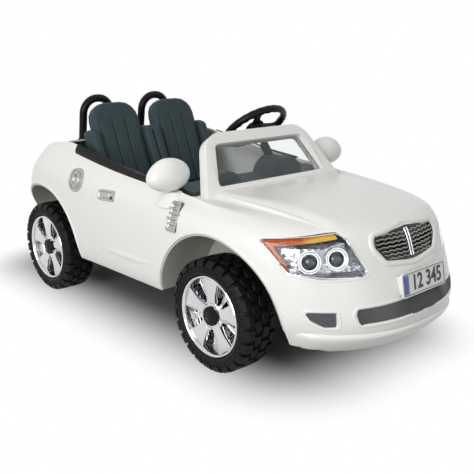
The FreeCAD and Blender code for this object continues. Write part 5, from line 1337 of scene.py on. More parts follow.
@dataclass
class Headlamps(Assembly):
    """Projectors, rings and bead strip inside each headlamp; a depth is measured from the lens."""

    spots: Outline = ((0.1085, 0.324), (0.1745, 0.331))
    spot_depth: float = -0.004
    spot_near: float = 0.01
    spot_lift: float = 0.001
    shroud: Outline = (
        (0.0, 0.0262), (0.0155, 0.0262), (0.0168, 0.025), (0.015, 0.0222), (0.012, 0.0215),
        (0.0115, 0.0178), (0.004, 0.015), (0.0, 0.0145))
    dome: Outline = (
        (0.002, 0.0), (0.002, 0.0138), (0.0055, 0.0132), (0.009, 0.0108), (0.0112, 0.0072), (0.0122, 0.0034),
        (0.0124, 0.0))
    halos: tuple[Size, ...] = ((0.025, 0.0166, 0.001), (0.0196, 0.0124, 0.0016))
    ring_steps: int = 40
    dome_steps: int = 32
    signal: tuple[Outline, ...] = (
        ((0.0115, 0.3655), (0.168, 0.3815), (0.03, 0.3555), (0.174, 0.3735)),
        ((0.0115, 0.3655), (0.0625, 0.304), (0.034, 0.356), (0.068, 0.3035)))
    signal_steps: tuple[int, int] = (24, 6)
    signal_depth: float = -0.0062
    signal_swell: float = 0.0016
    signal_wall: float = 0.002
    beads: int = 30
    bead_radius: float = 0.0024
    bead_first: Flat = (0.014, 0.3612)
    bead_pitch: float = 0.0053
    bead_slope: float = 0.11
    bead_depth: float = -0.0052
    edge_inset: float = 0.003
    edge_depth: float = -0.0006
    edge_radius: float = 0.0016

    def seat(self, lens: FittedField, bowl: Skin, across: float, up: float) -> Matrix:
        """Placement on the back of the bowl, square to the lens in front of it.

        Args:
            lens: Surface of the lens.
            bowl: Surface of the bowl.
            across: Place across the lamp's view.
            up: Height.

        Returns:
            Placement whose X axis looks out of the lamp.
        """
        near, depth = self.spot_near, self.spot_depth
        level = lens.point(across + near, up, depth) - lens.point(across - near, up, depth)
        rise = lens.point(across, up + near, depth) - lens.point(across, up - near, depth)
        square = level.cross(rise).normalized()
        if square.dot(LAMP_OUT) < 0:
            square.negate()
        back = bowl.hit(lens.point(across, up, depth), -square)[0]
        return axis_on(back + square * self.spot_lift, square)

    def on_signal(self, lens: FittedField, ends: Outline, along: float, share: float) -> Vector:
        """Spot of a signal panel behind the lens.

        Args:
            lens: Surface of the lens.
            ends: Ends of the panel's first edge, then of its second.
            along: Share of the way along the edges.
            share: Share of the way from the first edge to the second.

        Returns:
            The spot.
        """
        first, second = ([ends[i][k] + (ends[i + 1][k] - ends[i][k]) * along for k in (0, 1)] for i in (0, 2))
        across, up = (first[k] + (second[k] - first[k]) * share for k in (0, 1))
        return lens.point(across, up, self.signal_depth + self.signal_swell * math.sin(math.pi * share))

    def build(self) -> None:
        """Builds and dresses what the lenses cover."""
        shrouds, rings, domes, signal, trim = (Mould() for _ in range(5))
        lens = FittedField("headlamp_lenses", LAMP_OUT, right_only=True)
        bowl = Skin("headlamp_bowls")
        turns = [FULL_TURN * i / self.ring_steps for i in range(self.ring_steps)]
        for spot in self.spots:
            seat = self.seat(lens, bowl, *spot)
            shrouds.spin(self.shroud, self.ring_steps, seat)
            domes.spin(self.dome, self.dome_steps, seat)
            for radius, along, wire in self.halos:
                line = [seat @ Vector((along, radius * math.cos(turn), radius * math.sin(turn)))
                        for turn in turns]
                rings.tube(line, wire, closed=True)
        for ends in self.signal:
            signal.sheet(*self.signal_steps, partial(self.on_signal, lens, ends), self.signal_wall)
        first, foot = self.bead_first
        for step in range(self.beads):
            across = first + self.bead_pitch * step
            spot = lens.point(across, foot + self.bead_slope * across, self.bead_depth)
            signal.ball(self.bead_radius, spot, 1)
        edge = [lens.point(*spot, self.edge_depth) for spot in HEADLAMP.line(-self.edge_inset, BEAD_STEP)]
        trim.tube(edge, self.edge_radius, closed=True)
        for mould, name, slot, finish, nodes in (
                (shrouds, "projector_shrouds", "lamp_chrome", "rim_chrome", ["headlamp_rings"]),
                (rings, "projector_rings", "lamp_ring", "", []),
                # The domes' dark colour is painted shade of the projector's inside
                (domes, "projector_domes", "lamp_lens", "projector_painted_shade", []),
                (trim, "lens_edges", "lamp_chrome", "rim_chrome", []),
                (signal, "signal_strips", "amber", "", ["turn_signals"])):
            mould.twin()
            self.fit(mould, name, slot, finish, nodes)


@dataclass
class NumberPlate(Assembly):
    """Border, band and plain digits of the plate."""

    half_width: float = 0.085
    half_height: float = 0.0285
    border_inset: float = 0.004
    border_radius: float = 0.0009
    band_inset: float = 0.0065
    band_width: float = 0.017
    band_plate: Size = (0.0006, 0.0015, 0.0002)
    digits: str = "12 345"
    digit_size: float = 0.05
    digit_sheet: float = 0.0004
    digit_weight: float = 0.0011
    digit_shift: float = 0.01
    digit_squeeze: float = 0.86

    def build(self) -> None:
        """Builds and dresses what lies on the plate."""
        middle, out = node_front("number_plate", AHEAD, right_only=False)
        lay = frame_on(middle, out, X_AXIS)
        border = Mould()
        inset = self.border_inset
        edge = rounded(rectangle(self.half_width - inset, self.half_height - inset), inset)
        border.tube([lay @ Vector((*spot, 0.0)) for spot in edge], self.border_radius, closed=True)
        self.fit(border, "plate_border", "plate_white", "plate_ink")
        band = Mould()
        left, high = -self.half_width + self.band_inset, self.half_height - self.band_inset
        band.plate(panel(left, -high, left + self.band_width, high), *self.band_plate, lay)
        self.fit(band, "plate_band", "plate_white", "plate_blue")
        text = bpy.data.curves.new("digits", "FONT")
        text.body = self.digits
        text.size = self.digit_size
        text.extrude = self.digit_sheet
        text.offset = self.digit_weight
        text.align_x = "CENTER"
        text.align_y = "CENTER"
        marks = Mould()
        spot = moved(self.digit_shift, 0, self.digit_sheet)
        squeeze = spot @ Matrix.Diagonal((self.digit_squeeze, 1, 1, 1))
        marks.move(marks.take(bpy.data.objects.new("digits", text)), lay @ squeeze)
        self.fit(marks, "plate_digits", "plate_white", "plate_ink")


# Body trim


@dataclass
class BodyBeads(Assembly):
    """Rolled edges and soft swages of the moulded skin; a sink is how deep a bead's middle lies in it."""

    beside: float = -0.6
    above: float = 1.0
    behind: float = 1.2
    arch_middles: Flat = (-0.341, 0.482)
    arch_radius: float = 0.208
    arch_margin: float = 0.0035
    arch_turns: tuple[int, int, int] = (-12, 193, 3)
    arch_bead: float = 0.0042
    arch_sink: float = 0.0015
    arch_inner: float = -0.2
    axle_z: float = 0.145
    ridge: Outline = (
        (-0.2215, -0.262), (-0.2184, -0.325), (-0.2155, -0.375), (-0.2132, -0.42), (-0.2066, -0.482),
        (-0.1991, -0.537), (-0.1921, -0.575), (-0.1885, -0.588))
    ridge_step: float = 0.012
    ridge_bead: float = 0.0115
    ridge_sink: Flat = (0.0122, 0.0046)
    swage: Outline = (
        (0.176, 0.219), (0.098, 0.22), (0.022, 0.22), (-0.052, 0.2225), (-0.099, 0.2283), (-0.138, 0.2405))
    swage_step: float = 0.01
    swage_bead: float = 0.02
    swage_sink: Flat = (0.0205, 0.0026)
    bumper_half: float = 0.222
    bumper_z: float = 0.262
    bumper_rise: float = 0.008
    bumper_steps: int = 26
    bumper_bead: float = 0.012
    bumper_sink: Flat = (0.0085, 0.004)
    grille_bead: Size = (0.0085, 0.0075, 0.0045)
    lower_bead: Size = (0.005, 0.0045, 0.0035)
    small_bead: Size = (0.004, 0.0035, 0.0028)
    chin: Outline = (
        (-0.004, 0.167), (0.0045, 0.1625), (0.0075, 0.1585), (0.0085, 0.15), (0.008, 0.138), (0.006, 0.126),
        (0.003, 0.1165), (-0.004, 0.1125))
    chin_steps: tuple[int, int] = (64, 14)
    chin_middle: float = -0.36
    chin_turn: float = 55.5
    chin_fade: float = 12.0
    chin_sink: float = 0.004
    chin_low: float = 0.1135
    chin_reach: float = 0.3
    chin_wall: float = 0.002
    skin: Skin = field(default_factory=lambda: Skin("body_shell"))

    def arches(self) -> Mould:
        """Rolled lip round each wheel opening.

        Returns:
            The shaped mesh.
        """
        mould = Mould()
        radius = self.arch_radius + self.arch_margin
        for middle in self.arch_middles:
            line = []
            for degrees in range(*self.arch_turns):
                turn = math.radians(degrees)
                along, up = middle + radius * math.cos(turn), self.axle_z + radius * math.sin(turn)
                found = self.skin.hit(Vector((self.beside, along, up)), X_AXIS)
                if found and found[0].x < self.arch_inner:
                    line.append(found[0] - found[1] * self.arch_sink)
            mould.tube(line, self.arch_bead, sides=3)
        mould.twin()
        return mould

    def surround(self, opening: Opening, out: Vector, radius: float, margin: float, sink: float) -> Mould:
        """Soft bead on the skin round an opening.

        Args:
            opening: The opening.
            out: Way that its view looks.
            radius: Radius of the bead.
            margin: How far outside the opening it runs.
            sink: How deep its middle lies under the skin.

        Returns:
            The shaped mesh.
        """
        mould = Mould()
        level = out.cross(Z_AXIS).normalized() * -1
        line = []
        for across, up in opening.line(margin, BEAD_STEP):
            found = self.skin.hit(level * across + Z_AXIS * up + out, -out)
            if found:
                line.append(found[0] - found[1] * sink)
        mould.tube(line, radius, closed=True, sides=4)
        return mould

    def on_chin(self, along: float, share: float) -> Vector:
        """Spot of the front lip's ledge.

        Args:
            along: Share of the way from arch to arch.
            share: Share of the way down its section.

        Returns:
            The spot.
        """
        turn = math.radians(-self.chin_turn + 2 * self.chin_turn * along)
        way = Vector((math.sin(turn), -math.cos(turn), 0))
        spot = share * (len(self.chin) - 1)
        index = min(int(spot), len(self.chin) - 2)
        (out0, up0), (out1, up1) = self.chin[index:index + 2]
        part = spot - index
        proud, up = out0 + (out1 - out0) * part, up0 + (up1 - up0) * part
        fade = min(1.0, along * self.chin_fade, (1 - along) * self.chin_fade)
        middle = Vector((0, self.chin_middle, 0))
        found = self.skin.hit(middle + way + Z_AXIS * max(up, self.chin_low), -way)
        base = found[0] if found else middle + way * self.chin_reach
        return Vector((base.x, base.y, up)) + way * (proud * fade - self.chin_sink * (1 - fade))

    def chin_ledge(self) -> Mould:
        """Ledge of the front lip, from arch to arch.

        Returns:
            The shaped mesh.
        """
        mould = Mould()
        mould.sheet(*self.chin_steps, self.on_chin, self.chin_wall)
        return mould

    def swell(self, starts: Sequence[Vector], way: Vector, radius: float, sink: Flat, sides: int) -> Mould:
        """Bar under the skin on both sides of the car, proudest in its middle.

        Args:
            starts: Starts of the lines that find the skin.
            way: Their direction.
            radius: Radius of the bar.
            sink: Its sink at the ends, and how much less that is in the middle.
            sides: Resolution of its section.

        Returns:
            The shaped mesh.
        """
        mould = Mould()
        line = []
        for start in starts:
            found = self.skin.hit(start, way)
            if found:
                share = (start.y - starts[0].y) / (starts[-1].y - starts[0].y)
                line.append(found[0] - found[1] * (sink[0] - sink[1] * math.sin(math.pi * share)))
        mould.tube(line, radius, sides=sides)
        mould.twin()
        return mould

    def creases(self) -> Mould:
        """Soft ridge along each edge of the hood, from the screen to the lamp."""
        spots = finer(self.ridge, self.ridge_step, closed=False)
        return self.swell([Vector((*spot, self.above)) for spot in spots], -Z_AXIS, self.ridge_bead,
                          self.ridge_sink, 8)

    def swages(self) -> Mould:
        """Faint swage along the foot of each door."""
        spots = finer(self.swage, self.swage_step, closed=False)
        return self.swell([Vector((self.beside, *spot)) for spot in spots], X_AXIS, self.swage_bead,
                          self.swage_sink, 10)

    def rear_bumper(self) -> Mould:
        """Soft ledge across the back, under the tail lamps.

        Returns:
            The shaped mesh.
        """
        mould = Mould()
        line = []
        for step in range(-self.bumper_steps, self.bumper_steps + 1):
            share = step / self.bumper_steps
            up = self.bumper_z + self.bumper_rise * share ** 2
            point, normal = self.skin.hit(Vector((self.bumper_half * share, self.behind, up)), -Y_AXIS)
            line.append(point - normal * (self.bumper_sink[0] + self.bumper_sink[1] * share ** 8))
        mould.tube(line, self.bumper_bead, sides=8)
        return mould

    def build(self) -> None:
        """Builds and dresses the beads."""
        for mould, name in (
                (self.arches(), "arch_lips"), (self.creases(), "hood_creases"),
                (self.swages(), "door_swages"), (self.rear_bumper(), "rear_bumper_ledge"),
                (self.surround(GRILLE, AHEAD, *self.grille_bead), "grille_surround"),
                (self.surround(LOWER_GRILLE, AHEAD, *self.lower_bead), "lower_grille_surround")):
            self.fit(mould, name, "body_white")
        for opening, out, name, slot in (
                (FOG_VENT, AHEAD, "vent_surrounds", "body_white"),
                (HEADLAMP, LAMP_OUT, "lamp_surrounds", "body_white"),
                (TAIL_LAMP, Y_AXIS, "tail_lamp_rims", "trim_black")):
            bead = self.surround(opening, out, *self.small_bead)
            bead.twin()
            self.fit(bead, name, slot)
        self.fit(self.chin_ledge(), "chin_ledge", "body_white")


@dataclass
class SideTrim(Assembly):
    """Filler cap, door handles and finned gills."""

    cap: Outline = (
        (-0.01, 0.0), (-0.01, 0.036), (-0.001, 0.036), (0.0012, 0.0344), (0.0016, 0.032), (0.0004, 0.0298),
        (-0.0026, 0.0286), (-0.003, 0.0262), (-0.0004, 0.0248), (0.0006, 0.022), (0.0008, 0.012),
        (-0.0012, 0.01), (-0.0014, 0.0))
    cap_steps: int = 56
    finger_radius: float = 0.018
    finger_lift: float = 0.0012
    finger_turns: Flat = (30.0, 290.0)
    finger_steps: int = 28
    finger_bars: Flat = (0.0034, 0.0032)
    finger_end: Flat = (0.0015, -0.01)
    handle_half: Flat = (0.04, 0.016)
    handle_plate: Size = (0.0055, 0.012, 0.0016)
    handle_sunk: Flat = (0.0045, 0.003)
    handle_sink: float = 0.004
    handle_tilt: float = 4.0
    grip: Outline = ((-0.032, -0.006), (0.02, -0.006), (0.02, 0.009), (-0.032, 0.009))
    grip_plate: Size = (0.0062, 0.005, 0.0022)
    pocket: Outline = ((0.021, -0.01), (0.034, -0.01), (0.034, -0.001), (0.021, -0.001))
    pocket_plate: Size = (0.0036, 0.003, 0.0004)
    gill_half: Flat = (0.039, 0.0155)
    gill_plate: Size = (0.0042, 0.004, 0.0012)
    gill_sunk: Flat = (0.0026, 0.0016)
    gill_sink: float = 0.003
    gill_turn: float = 92.0
    fins: int = 6
    fin_reach: Flat = (0.019, 0.002)
    fin_section: Flat = (0.0062, 0.0085)
    fin_edge: float = 0.0017
    fin_shift: float = 0.0025
    fin_lift: float = 0.0045
    fin_tilt: float = 24.0

    def filler_cap(self) -> None:
        """Ringed cap with a C-shaped finger rim."""
        middle, out = node_front("fuel_cap", -X_AXIS)
        low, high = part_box("fuel_cap")
        middle = (low + high) / 2 - out * ((low + high) / 2 - middle).dot(out)
        seat = axis_on(middle, out)
        mould = Mould()
        mould.spin(self.cap, self.cap_steps, seat)
        start, sweep = self.finger_turns
        turns = [math.radians(start + sweep * i / self.finger_steps) for i in range(self.finger_steps + 1)]
        radius, lift = self.finger_radius, self.finger_lift
        arc = [seat @ Vector((lift, radius * math.cos(turn), radius * math.sin(turn))) for turn in turns]
        mould.tube(arc, self.finger_bars[0], sides=3)
        mould.tube([arc[-1], seat @ Vector((lift, *self.finger_end))], self.finger_bars[1], sides=3)
        self.fit(mould, "ringed_filler_cap", "silver", replaces=["fuel_cap"])

    def handles(self) -> None:
        """Recessed handle plates with a grip, and a near-black plate of painted shade in each slot."""
        middle, out = node_front("door_handles", -X_AXIS)
        lay = frame_on(middle - out * self.handle_sink, out, AHEAD) @ turned(self.handle_tilt, "Z")
        mould = Mould()
        mould.plate(rectangle(*self.handle_half), *self.handle_plate, lay, sunk=self.handle_sunk)
        mould.plate(self.grip, *self.grip_plate, lay, segments=3)
        mould.twin()
        self.fit(mould, "door_handle_plates", "silver", replaces=["door_handles"])
        # Near-black plate in the handle's slot: painted shade
        pocket = Mould()
        pocket.plate(self.pocket, *self.pocket_plate, lay)
        pocket.twin()
        self.fit(pocket, "door_handle_slot_shade", "silver", "cavity")

    def gills(self) -> None:
        """Slim strips with protruding fins."""
        middle, out = node_front("side_gills", -X_AXIS)
        lay = frame_on(middle - out * self.gill_sink, out, AHEAD) @ turned(self.gill_turn, "Z")
        half = self.gill_half[0]
        mould = Mould()
        mould.plate(rectangle(*self.gill_half), *self.gill_plate, lay, sunk=self.gill_sunk)
        thick, tall = self.fin_section
        for fin in range(self.fins):
            along = (fin + 0.5) * 2 * half / self.fins - half
            reach = self.fin_reach[0] - self.fin_reach[1] * abs(fin - (self.fins - 1) / 2)
            spot = moved(along, self.fin_shift * (-1) ** fin, self.fin_lift)
            mould.block((thick, reach * 2, tall), self.fin_edge, lay @ (spot @ turned(self.fin_tilt, "Y")))
        mould.twin()
        self.fit(mould, "finned_gills", "silver", replaces=["side_gills"])

    def build(self) -> None:
        """Builds and dresses the trim."""
        self.filler_cap()
        self.handles()
        self.gills()


@dataclass
class Windscreen(Assembly):
    """Chunky screen frame with soft edges."""

    foot: Vector = field(default_factory=lambda: Vector((0, -0.217985, 0.426)))
    rake: float = 32.5
    height: float = 0.117
    top_half: float = 0.164
    foot_half: float = 0.205
    bar: float = 0.032
    pillar: float = 0.028
    sink: float = 0.03
    spread: float = 0.012
    depth: float = 0.034
    outer_round: float = 0.042
    inner_round: float = 0.0125
    edge: float = 0.007
    edge_angle: float = 1.0

    def build(self) -> None:
        """Builds and dresses the frame."""
        slope = (self.foot_half - self.top_half) / self.height
        wide = self.foot_half + self.pillar + self.sink * slope + self.spread
        narrow = self.top_half + self.pillar - self.bar * slope
        rise = self.height + self.bar
        outer = ((-wide, -self.sink), (wide, -self.sink), (narrow, rise), (-narrow, rise))
        inner = ((-self.foot_half, 0), (self.foot_half, 0), (self.top_half, self.height),
                 (-self.top_half, self.height))
        mould = Mould()
        loops = []
        for corners, radius, sharp in ((outer, self.outer_round, 2), (inner, self.inner_round, 0)):
            face = mould.outline(corners, radius, 8, first=sharp)
            loops += list(face.edges)
            bmesh.ops.delete(mould.bm, geom=[face], context="FACES_ONLY")
        bmesh.ops.bridge_loops(mould.bm, edges=loops)
        made = bmesh.ops.extrude_face_region(mould.bm, geom=mould.bm.faces[:], use_keep_orig=True)["geom"]
        lifted = only(Vert, made)
        bmesh.ops.translate(mould.bm, vec=(0, 0, self.depth), verts=lifted)
        bmesh.ops.recalc_face_normals(mould.bm, faces=mould.bm.faces[:])
        edges = [edge for edge in mould.bm.edges
                 if len(edge.link_faces) == 2 and edge.calc_face_angle() > self.edge_angle]
        mould.soften(edges, self.edge, 4, clamp=True)
        stand = Matrix.Translation(self.foot) @ turned(90 - self.rake, "X")
        mould.move(mould.bm.verts, stand @ moved(0, 0, -self.depth / 2))
        self.fit(mould, "soft_screen_frame", "body_white", replaces=["windshield_frame"])


@dataclass
class Mirror(Assembly):
    """Egg-shaped door mirror that folds on its pin; the stem is (share of its height, radius)."""

    side: Side
    half: Size = (0.064, 0.037, 0.043)
    spot: Flat = (0.303, -0.149)
    drop: float = 0.038
    taper: float = 0.16
    flat: float = 0.0185
    steps: tuple[int, int] = (48, 24)
    rim: Outline = ((0.88, 0.0), (0.98, -0.004))
    pin_inset: float = 0.014
    pin_gap: float = 0.0005
    stem: Outline = (
        (0, 0), (0, 0.0048), (0.1, 0.0048), (0.22, 0.02), (0.5, 0.024), (1, 0.01), (1, 0))

    def build(self) -> None:
        """Builds and dresses the housing and its stem."""
        label, sign = self.side.label, self.side.value
        low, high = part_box(f"mirror_{label}")
        middle = Vector((sign * self.spot[0], self.spot[1], high.z - self.drop))
        mould = Mould()
        bmesh.ops.create_uvsphere(mould.bm, u_segments=self.steps[0], v_segments=self.steps[1], radius=1.0,
                                  matrix=turned(90, "Y"))
        for vert in mould.bm.verts:
            droop = self.taper * max(0.0, vert.co.x * sign) ** 2
            vert.co.z *= 1.0 - droop
            vert.co.z -= droop
        bmesh.ops.scale(mould.bm, vec=self.half, verts=mould.bm.verts[:])
        whole = mould.bm.verts[:] + mould.bm.edges[:] + mould.bm.faces[:]
        cut = bmesh.ops.bisect_plane(mould.bm, geom=whole, plane_co=(0, self.flat, 0), plane_no=Y_AXIS,
                                     clear_outer=True)["geom_cut"]
        edges = only(Edge, cut)
        face = bmesh.ops.contextual_create(mould.bm, geom=edges)["faces"]
        for narrow, deep in self.rim:
            made = bmesh.ops.extrude_face_region(mould.bm, geom=face)["geom"]
            face = only(Face, made)
            bmesh.ops.scale(mould.bm, vec=(narrow, 1, narrow), verts=face[0].verts)
            bmesh.ops.translate(mould.bm, vec=(0, deep, 0), verts=face[0].verts)
        mould.move(mould.bm.verts, Matrix.Translation(middle))
        foot = low.z + self.pin_gap
        tall = middle.z - foot
        upright = moved(middle.x - sign * self.pin_inset, middle.y, foot) @ X_TO_UP
        mould.spin([(tall * share, radius) for share, radius in self.stem], 32, upright)
        node = f"mirror_{label}"
        self.fit(mould, f"egg_mirror_{label}", "body_white", replaces=[node], body=node)


@dataclass
class MirrorFeet(Assembly):
    """Moulded feet under both mirrors."""

    pin_inset: float = 0.018
    drop: float = 0.0065
    longer: float = 1.3
    outline: Outline = (
        (-0.0005, 0.0052), (0.0, 0.008), (0.0, 0.019), (-0.0015, 0.021), (-0.008, 0.024), (-0.02, 0.033),
        (-0.034, 0.044), (-0.034, 0.0052))

    def build(self) -> None:
        """Builds and dresses the feet."""
        low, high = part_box("mirror_mounts")
        mould = Mould()
        upright = moved(low.x + self.pin_inset, (low.y + high.y) / 2, high.z - self.drop) @ X_TO_UP
        mould.spin(self.outline, 40, upright @ Matrix.Diagonal((1, self.longer, 1, 1)))
        mould.twin()
        self.fit(mould, "mirror_feet", "body_white", replaces=["mirror_mounts"])


# Cockpit


@dataclass
class Seat(Assembly):
    """Hard bucket seat with moulded flutes and raised bolsters."""

    side: Side
    middle: float = 0.1145
    half_width: float = 0.113
    bolster: float = 0.028
    front: float = 0.015
    back: float = 0.262
    foot: float = 0.262
    top: float = 0.3
    crown: float = 0.606
    shoulder: float = 0.528
    lean: float = 22.0
    thick: float = 0.04
    base_edge: float = 0.008
    wing_edge: float = 0.01
    wing_lap: float = 0.0005
    back_foot: float = -0.03
    back_set: float = 0.016
    back_plate: Size = (0.036, 0.056, 0.013)
    crown_gap: float = 0.006
    flutes: int = 3
    flute_margin: float = 0.016
    flute_gap: float = 0.001
    flute_plate: Size = (0.0075, 0.014, 0.0048)
    flute_drop: float = 0.012
    flute_sink: Flat = (0.002, 0.003)
    back_flute: Flat = (0.03, 0.052)
    base_flute: Flat = (0.034, 0.024)

    def run(self, up: float) -> float:
        """Set-back of the leaning backrest at a height over the cushion."""
        return self.back + (up - self.top) * math.tan(math.radians(self.lean))

    def slab(self, mould: Mould, corners: Sequence[Flat], half: float, edge: float, matrix: Matrix) -> None:
        """Side profile given a width and soft edges.

        Args:
            mould: Mesh that it goes into.
            corners: Profile as (along the car, up).
            half: Half of its width.
            edge: Radius of its edges.
            matrix: Where it goes.
        """
        before = set(mould.bm.verts)
        face = mould.outline(corners, 0.0)
        made = bmesh.ops.extrude_face_region(mould.bm, geom=[face], use_keep_orig=True)["geom"]
        lifted = only(Vert, made)
        bmesh.ops.translate(mould.bm, vec=(0, 0, half * 2), verts=lifted)
        verts = mould.fresh(before)
        bmesh.ops.recalc_face_normals(mould.bm, faces=faces_of(verts))
        mould.soften(edges_of(verts), edge, 4, clamp=True)
        mould.move(mould.fresh(before), matrix @ moved(0, 0, -half))

    def profiles(self) -> tuple[list[Flat], list[Flat]]:
        """Side profiles of the cushion and of a bolster.

        Returns:
            Both, as (along the car, up).
        """
        front, back, foot, top = self.front, self.back, self.foot, self.top
        heel = (back + self.thick, foot)
        base = [(front, foot), (front - 0.004, top - 0.012), (front + 0.012, top), (back, top - 0.006), heel]
        reach, shoulder = self.run(self.shoulder), self.shoulder
        wing = [(front + 0.006, foot), (front + 0.006, top + 0.006), (front + 0.034, top + 0.02),
                (back - 0.02, top + 0.02), (reach - 0.024, shoulder - 0.006), (reach + 0.008, shoulder),
                (reach + self.thick - 0.002, shoulder - 0.012), heel]
        return base, wing

    def fluting(self, mould: Mould, inner: float, long: float, lean: Matrix) -> None:
        """Rounded flutes of the backrest and the cushion.

        Args:
            mould: Mesh that they go into.
            inner: Half width between the bolsters.
            long: Length of the backrest.
            lean: Placement of the backrest.
        """
        pitch = 2 * (inner - self.flute_margin) / self.flutes
        ahead = self.back_set - self.back_plate[0] + self.flute_sink[0]
        front = moved(0, ahead, 0) @ turned(90, "X")
        seat = moved(0, 0, self.top - self.flute_sink[1])
        for flute in range(self.flutes):
            across = (flute + 0.5 - self.flutes / 2) * pitch
            left, right = across - pitch / 2 + self.flute_gap, across + pitch / 2 - self.flute_gap
            drop = self.flute_drop * abs(flute - (self.flutes - 1) / 2)
            for low, high, place in (
                    (self.back_flute[0], long - self.back_flute[1] - drop, lean @ front),
                    (self.front + self.base_flute[0], self.back - self.base_flute[1], seat)):
                mould.plate(panel(left, low, right, high), *self.flute_plate, place, segments=4)

    def build(self) -> None:
        """Builds and dresses the seat."""
        label, sign = self.side.label, self.side.value
        inner = self.half_width - self.bolster
        mould = Mould()
        base, wing = self.profiles()
        self.slab(mould, base, inner, self.base_edge, facing_x())
        lean = moved(0, self.back + self.thick / 2, self.top) @ turned(-self.lean, "X")
        long = (self.crown - self.top) / math.cos(math.radians(self.lean))
        upper = panel(-inner, self.back_foot, inner, long - self.crown_gap)
        flat = moved(0, self.back_set, 0) @ turned(90, "X")
        mould.plate(upper, *self.back_plate, lean @ flat, segments=4)
        for edge in (-1, 1):
            shift = moved(edge * (inner + self.bolster / 2), 0, 0)
            self.slab(mould, wing, self.bolster / 2 + self.wing_lap, self.wing_edge, shift @ facing_x())
        self.fluting(mould, inner, long, lean)
        mould.move(mould.bm.verts, moved(sign * self.middle, 0, 0))
        self.fit(mould, f"bucket_seat_{label}", "slate", replaces=[f"seat_{label}"])


@dataclass
class SteeringWheel(Assembly):
    """Thick wheel with finger ridges, three spokes and a padded hub."""

    hub: Vector = field(default_factory=lambda: Vector((0.1145, -0.029817, 0.545)))
    rake: float = 38.0
    radius: float = 0.095
    grip: float = 0.0112
    grip_squash: float = 0.85
    grip_sides: int = 14
    steps: int = 96
    ridges: int = 24
    ridge_swell: Flat = (0.1, 0.4)
    pad: Outline = (
        (-0.022, 0.0), (-0.022, 0.018), (-0.012, 0.027), (0.002, 0.029), (0.0062, 0.0262), (0.0062, 0.0212),
        (-0.0008, 0.0208), (-0.0008, 0.0))
    turns: tuple[int, ...] = (90, 210, 330)
    spoke: Outline = (
        (-0.0125, 0.0235), (-0.0085, 0.06), (-0.0125, 0.094), (0.0125, 0.094), (0.0085, 0.06),
        (0.0125, 0.0235))
    spoke_plate: Size = (0.008, 0.0, 0.0018)
    spoke_along: float = -0.005
    spoke_sunk: Flat = (0.003, 0.001)
    inlay: Outline = ((-0.0035, 0.034), (-0.0022, 0.076), (0.0022, 0.076), (0.0035, 0.034))
    inlay_plate: Size = (0.0022, 0.0015, 0.0004)
    inlay_along: float = 0.0015

    def build(self) -> None:
        """Builds and dresses the wheel."""
        seat = Matrix.Translation(self.hub) @ turned(-self.rake, "X") @ X_TO_UP
        sides = [FULL_TURN * i / self.grip_sides for i in range(self.grip_sides)]
        grips = [(self.grip * math.cos(turn), self.radius + self.grip * self.grip_squash * math.sin(turn))
                 for turn in sides]
        mould = Mould()
        swell, outer_share = self.ridge_swell
        for vert in mould.spin(grips, self.steps):
            turn = math.atan2(vert.co.z, vert.co.y)
            reach = math.hypot(vert.co.y, vert.co.z)
            share = outer_share if reach > self.radius else 1.0
            vert.co.x *= 1 + swell * math.sin(self.ridges * turn) * share
        mould.spin(self.pad, 40)
        inlays = Mould()
        for degrees in self.turns:
            turn = turned(degrees + 90, "X")
            flat = turn @ facing_x(self.spoke_along)
            mould.plate(self.spoke, *self.spoke_plate, flat, sunk=self.spoke_sunk)
            inlays.plate(self.inlay, *self.inlay_plate, turn @ facing_x(self.inlay_along))
        mould.move(mould.bm.verts, seat)
        inlays.move(inlays.bm.verts, seat)
        self.fit(mould, "gripped_wheel", "trim_black", replaces=["steering_wheel"], body="steering")
        self.fit(inlays, "spoke_inlays", "horn_grey", "silver", body="steering")


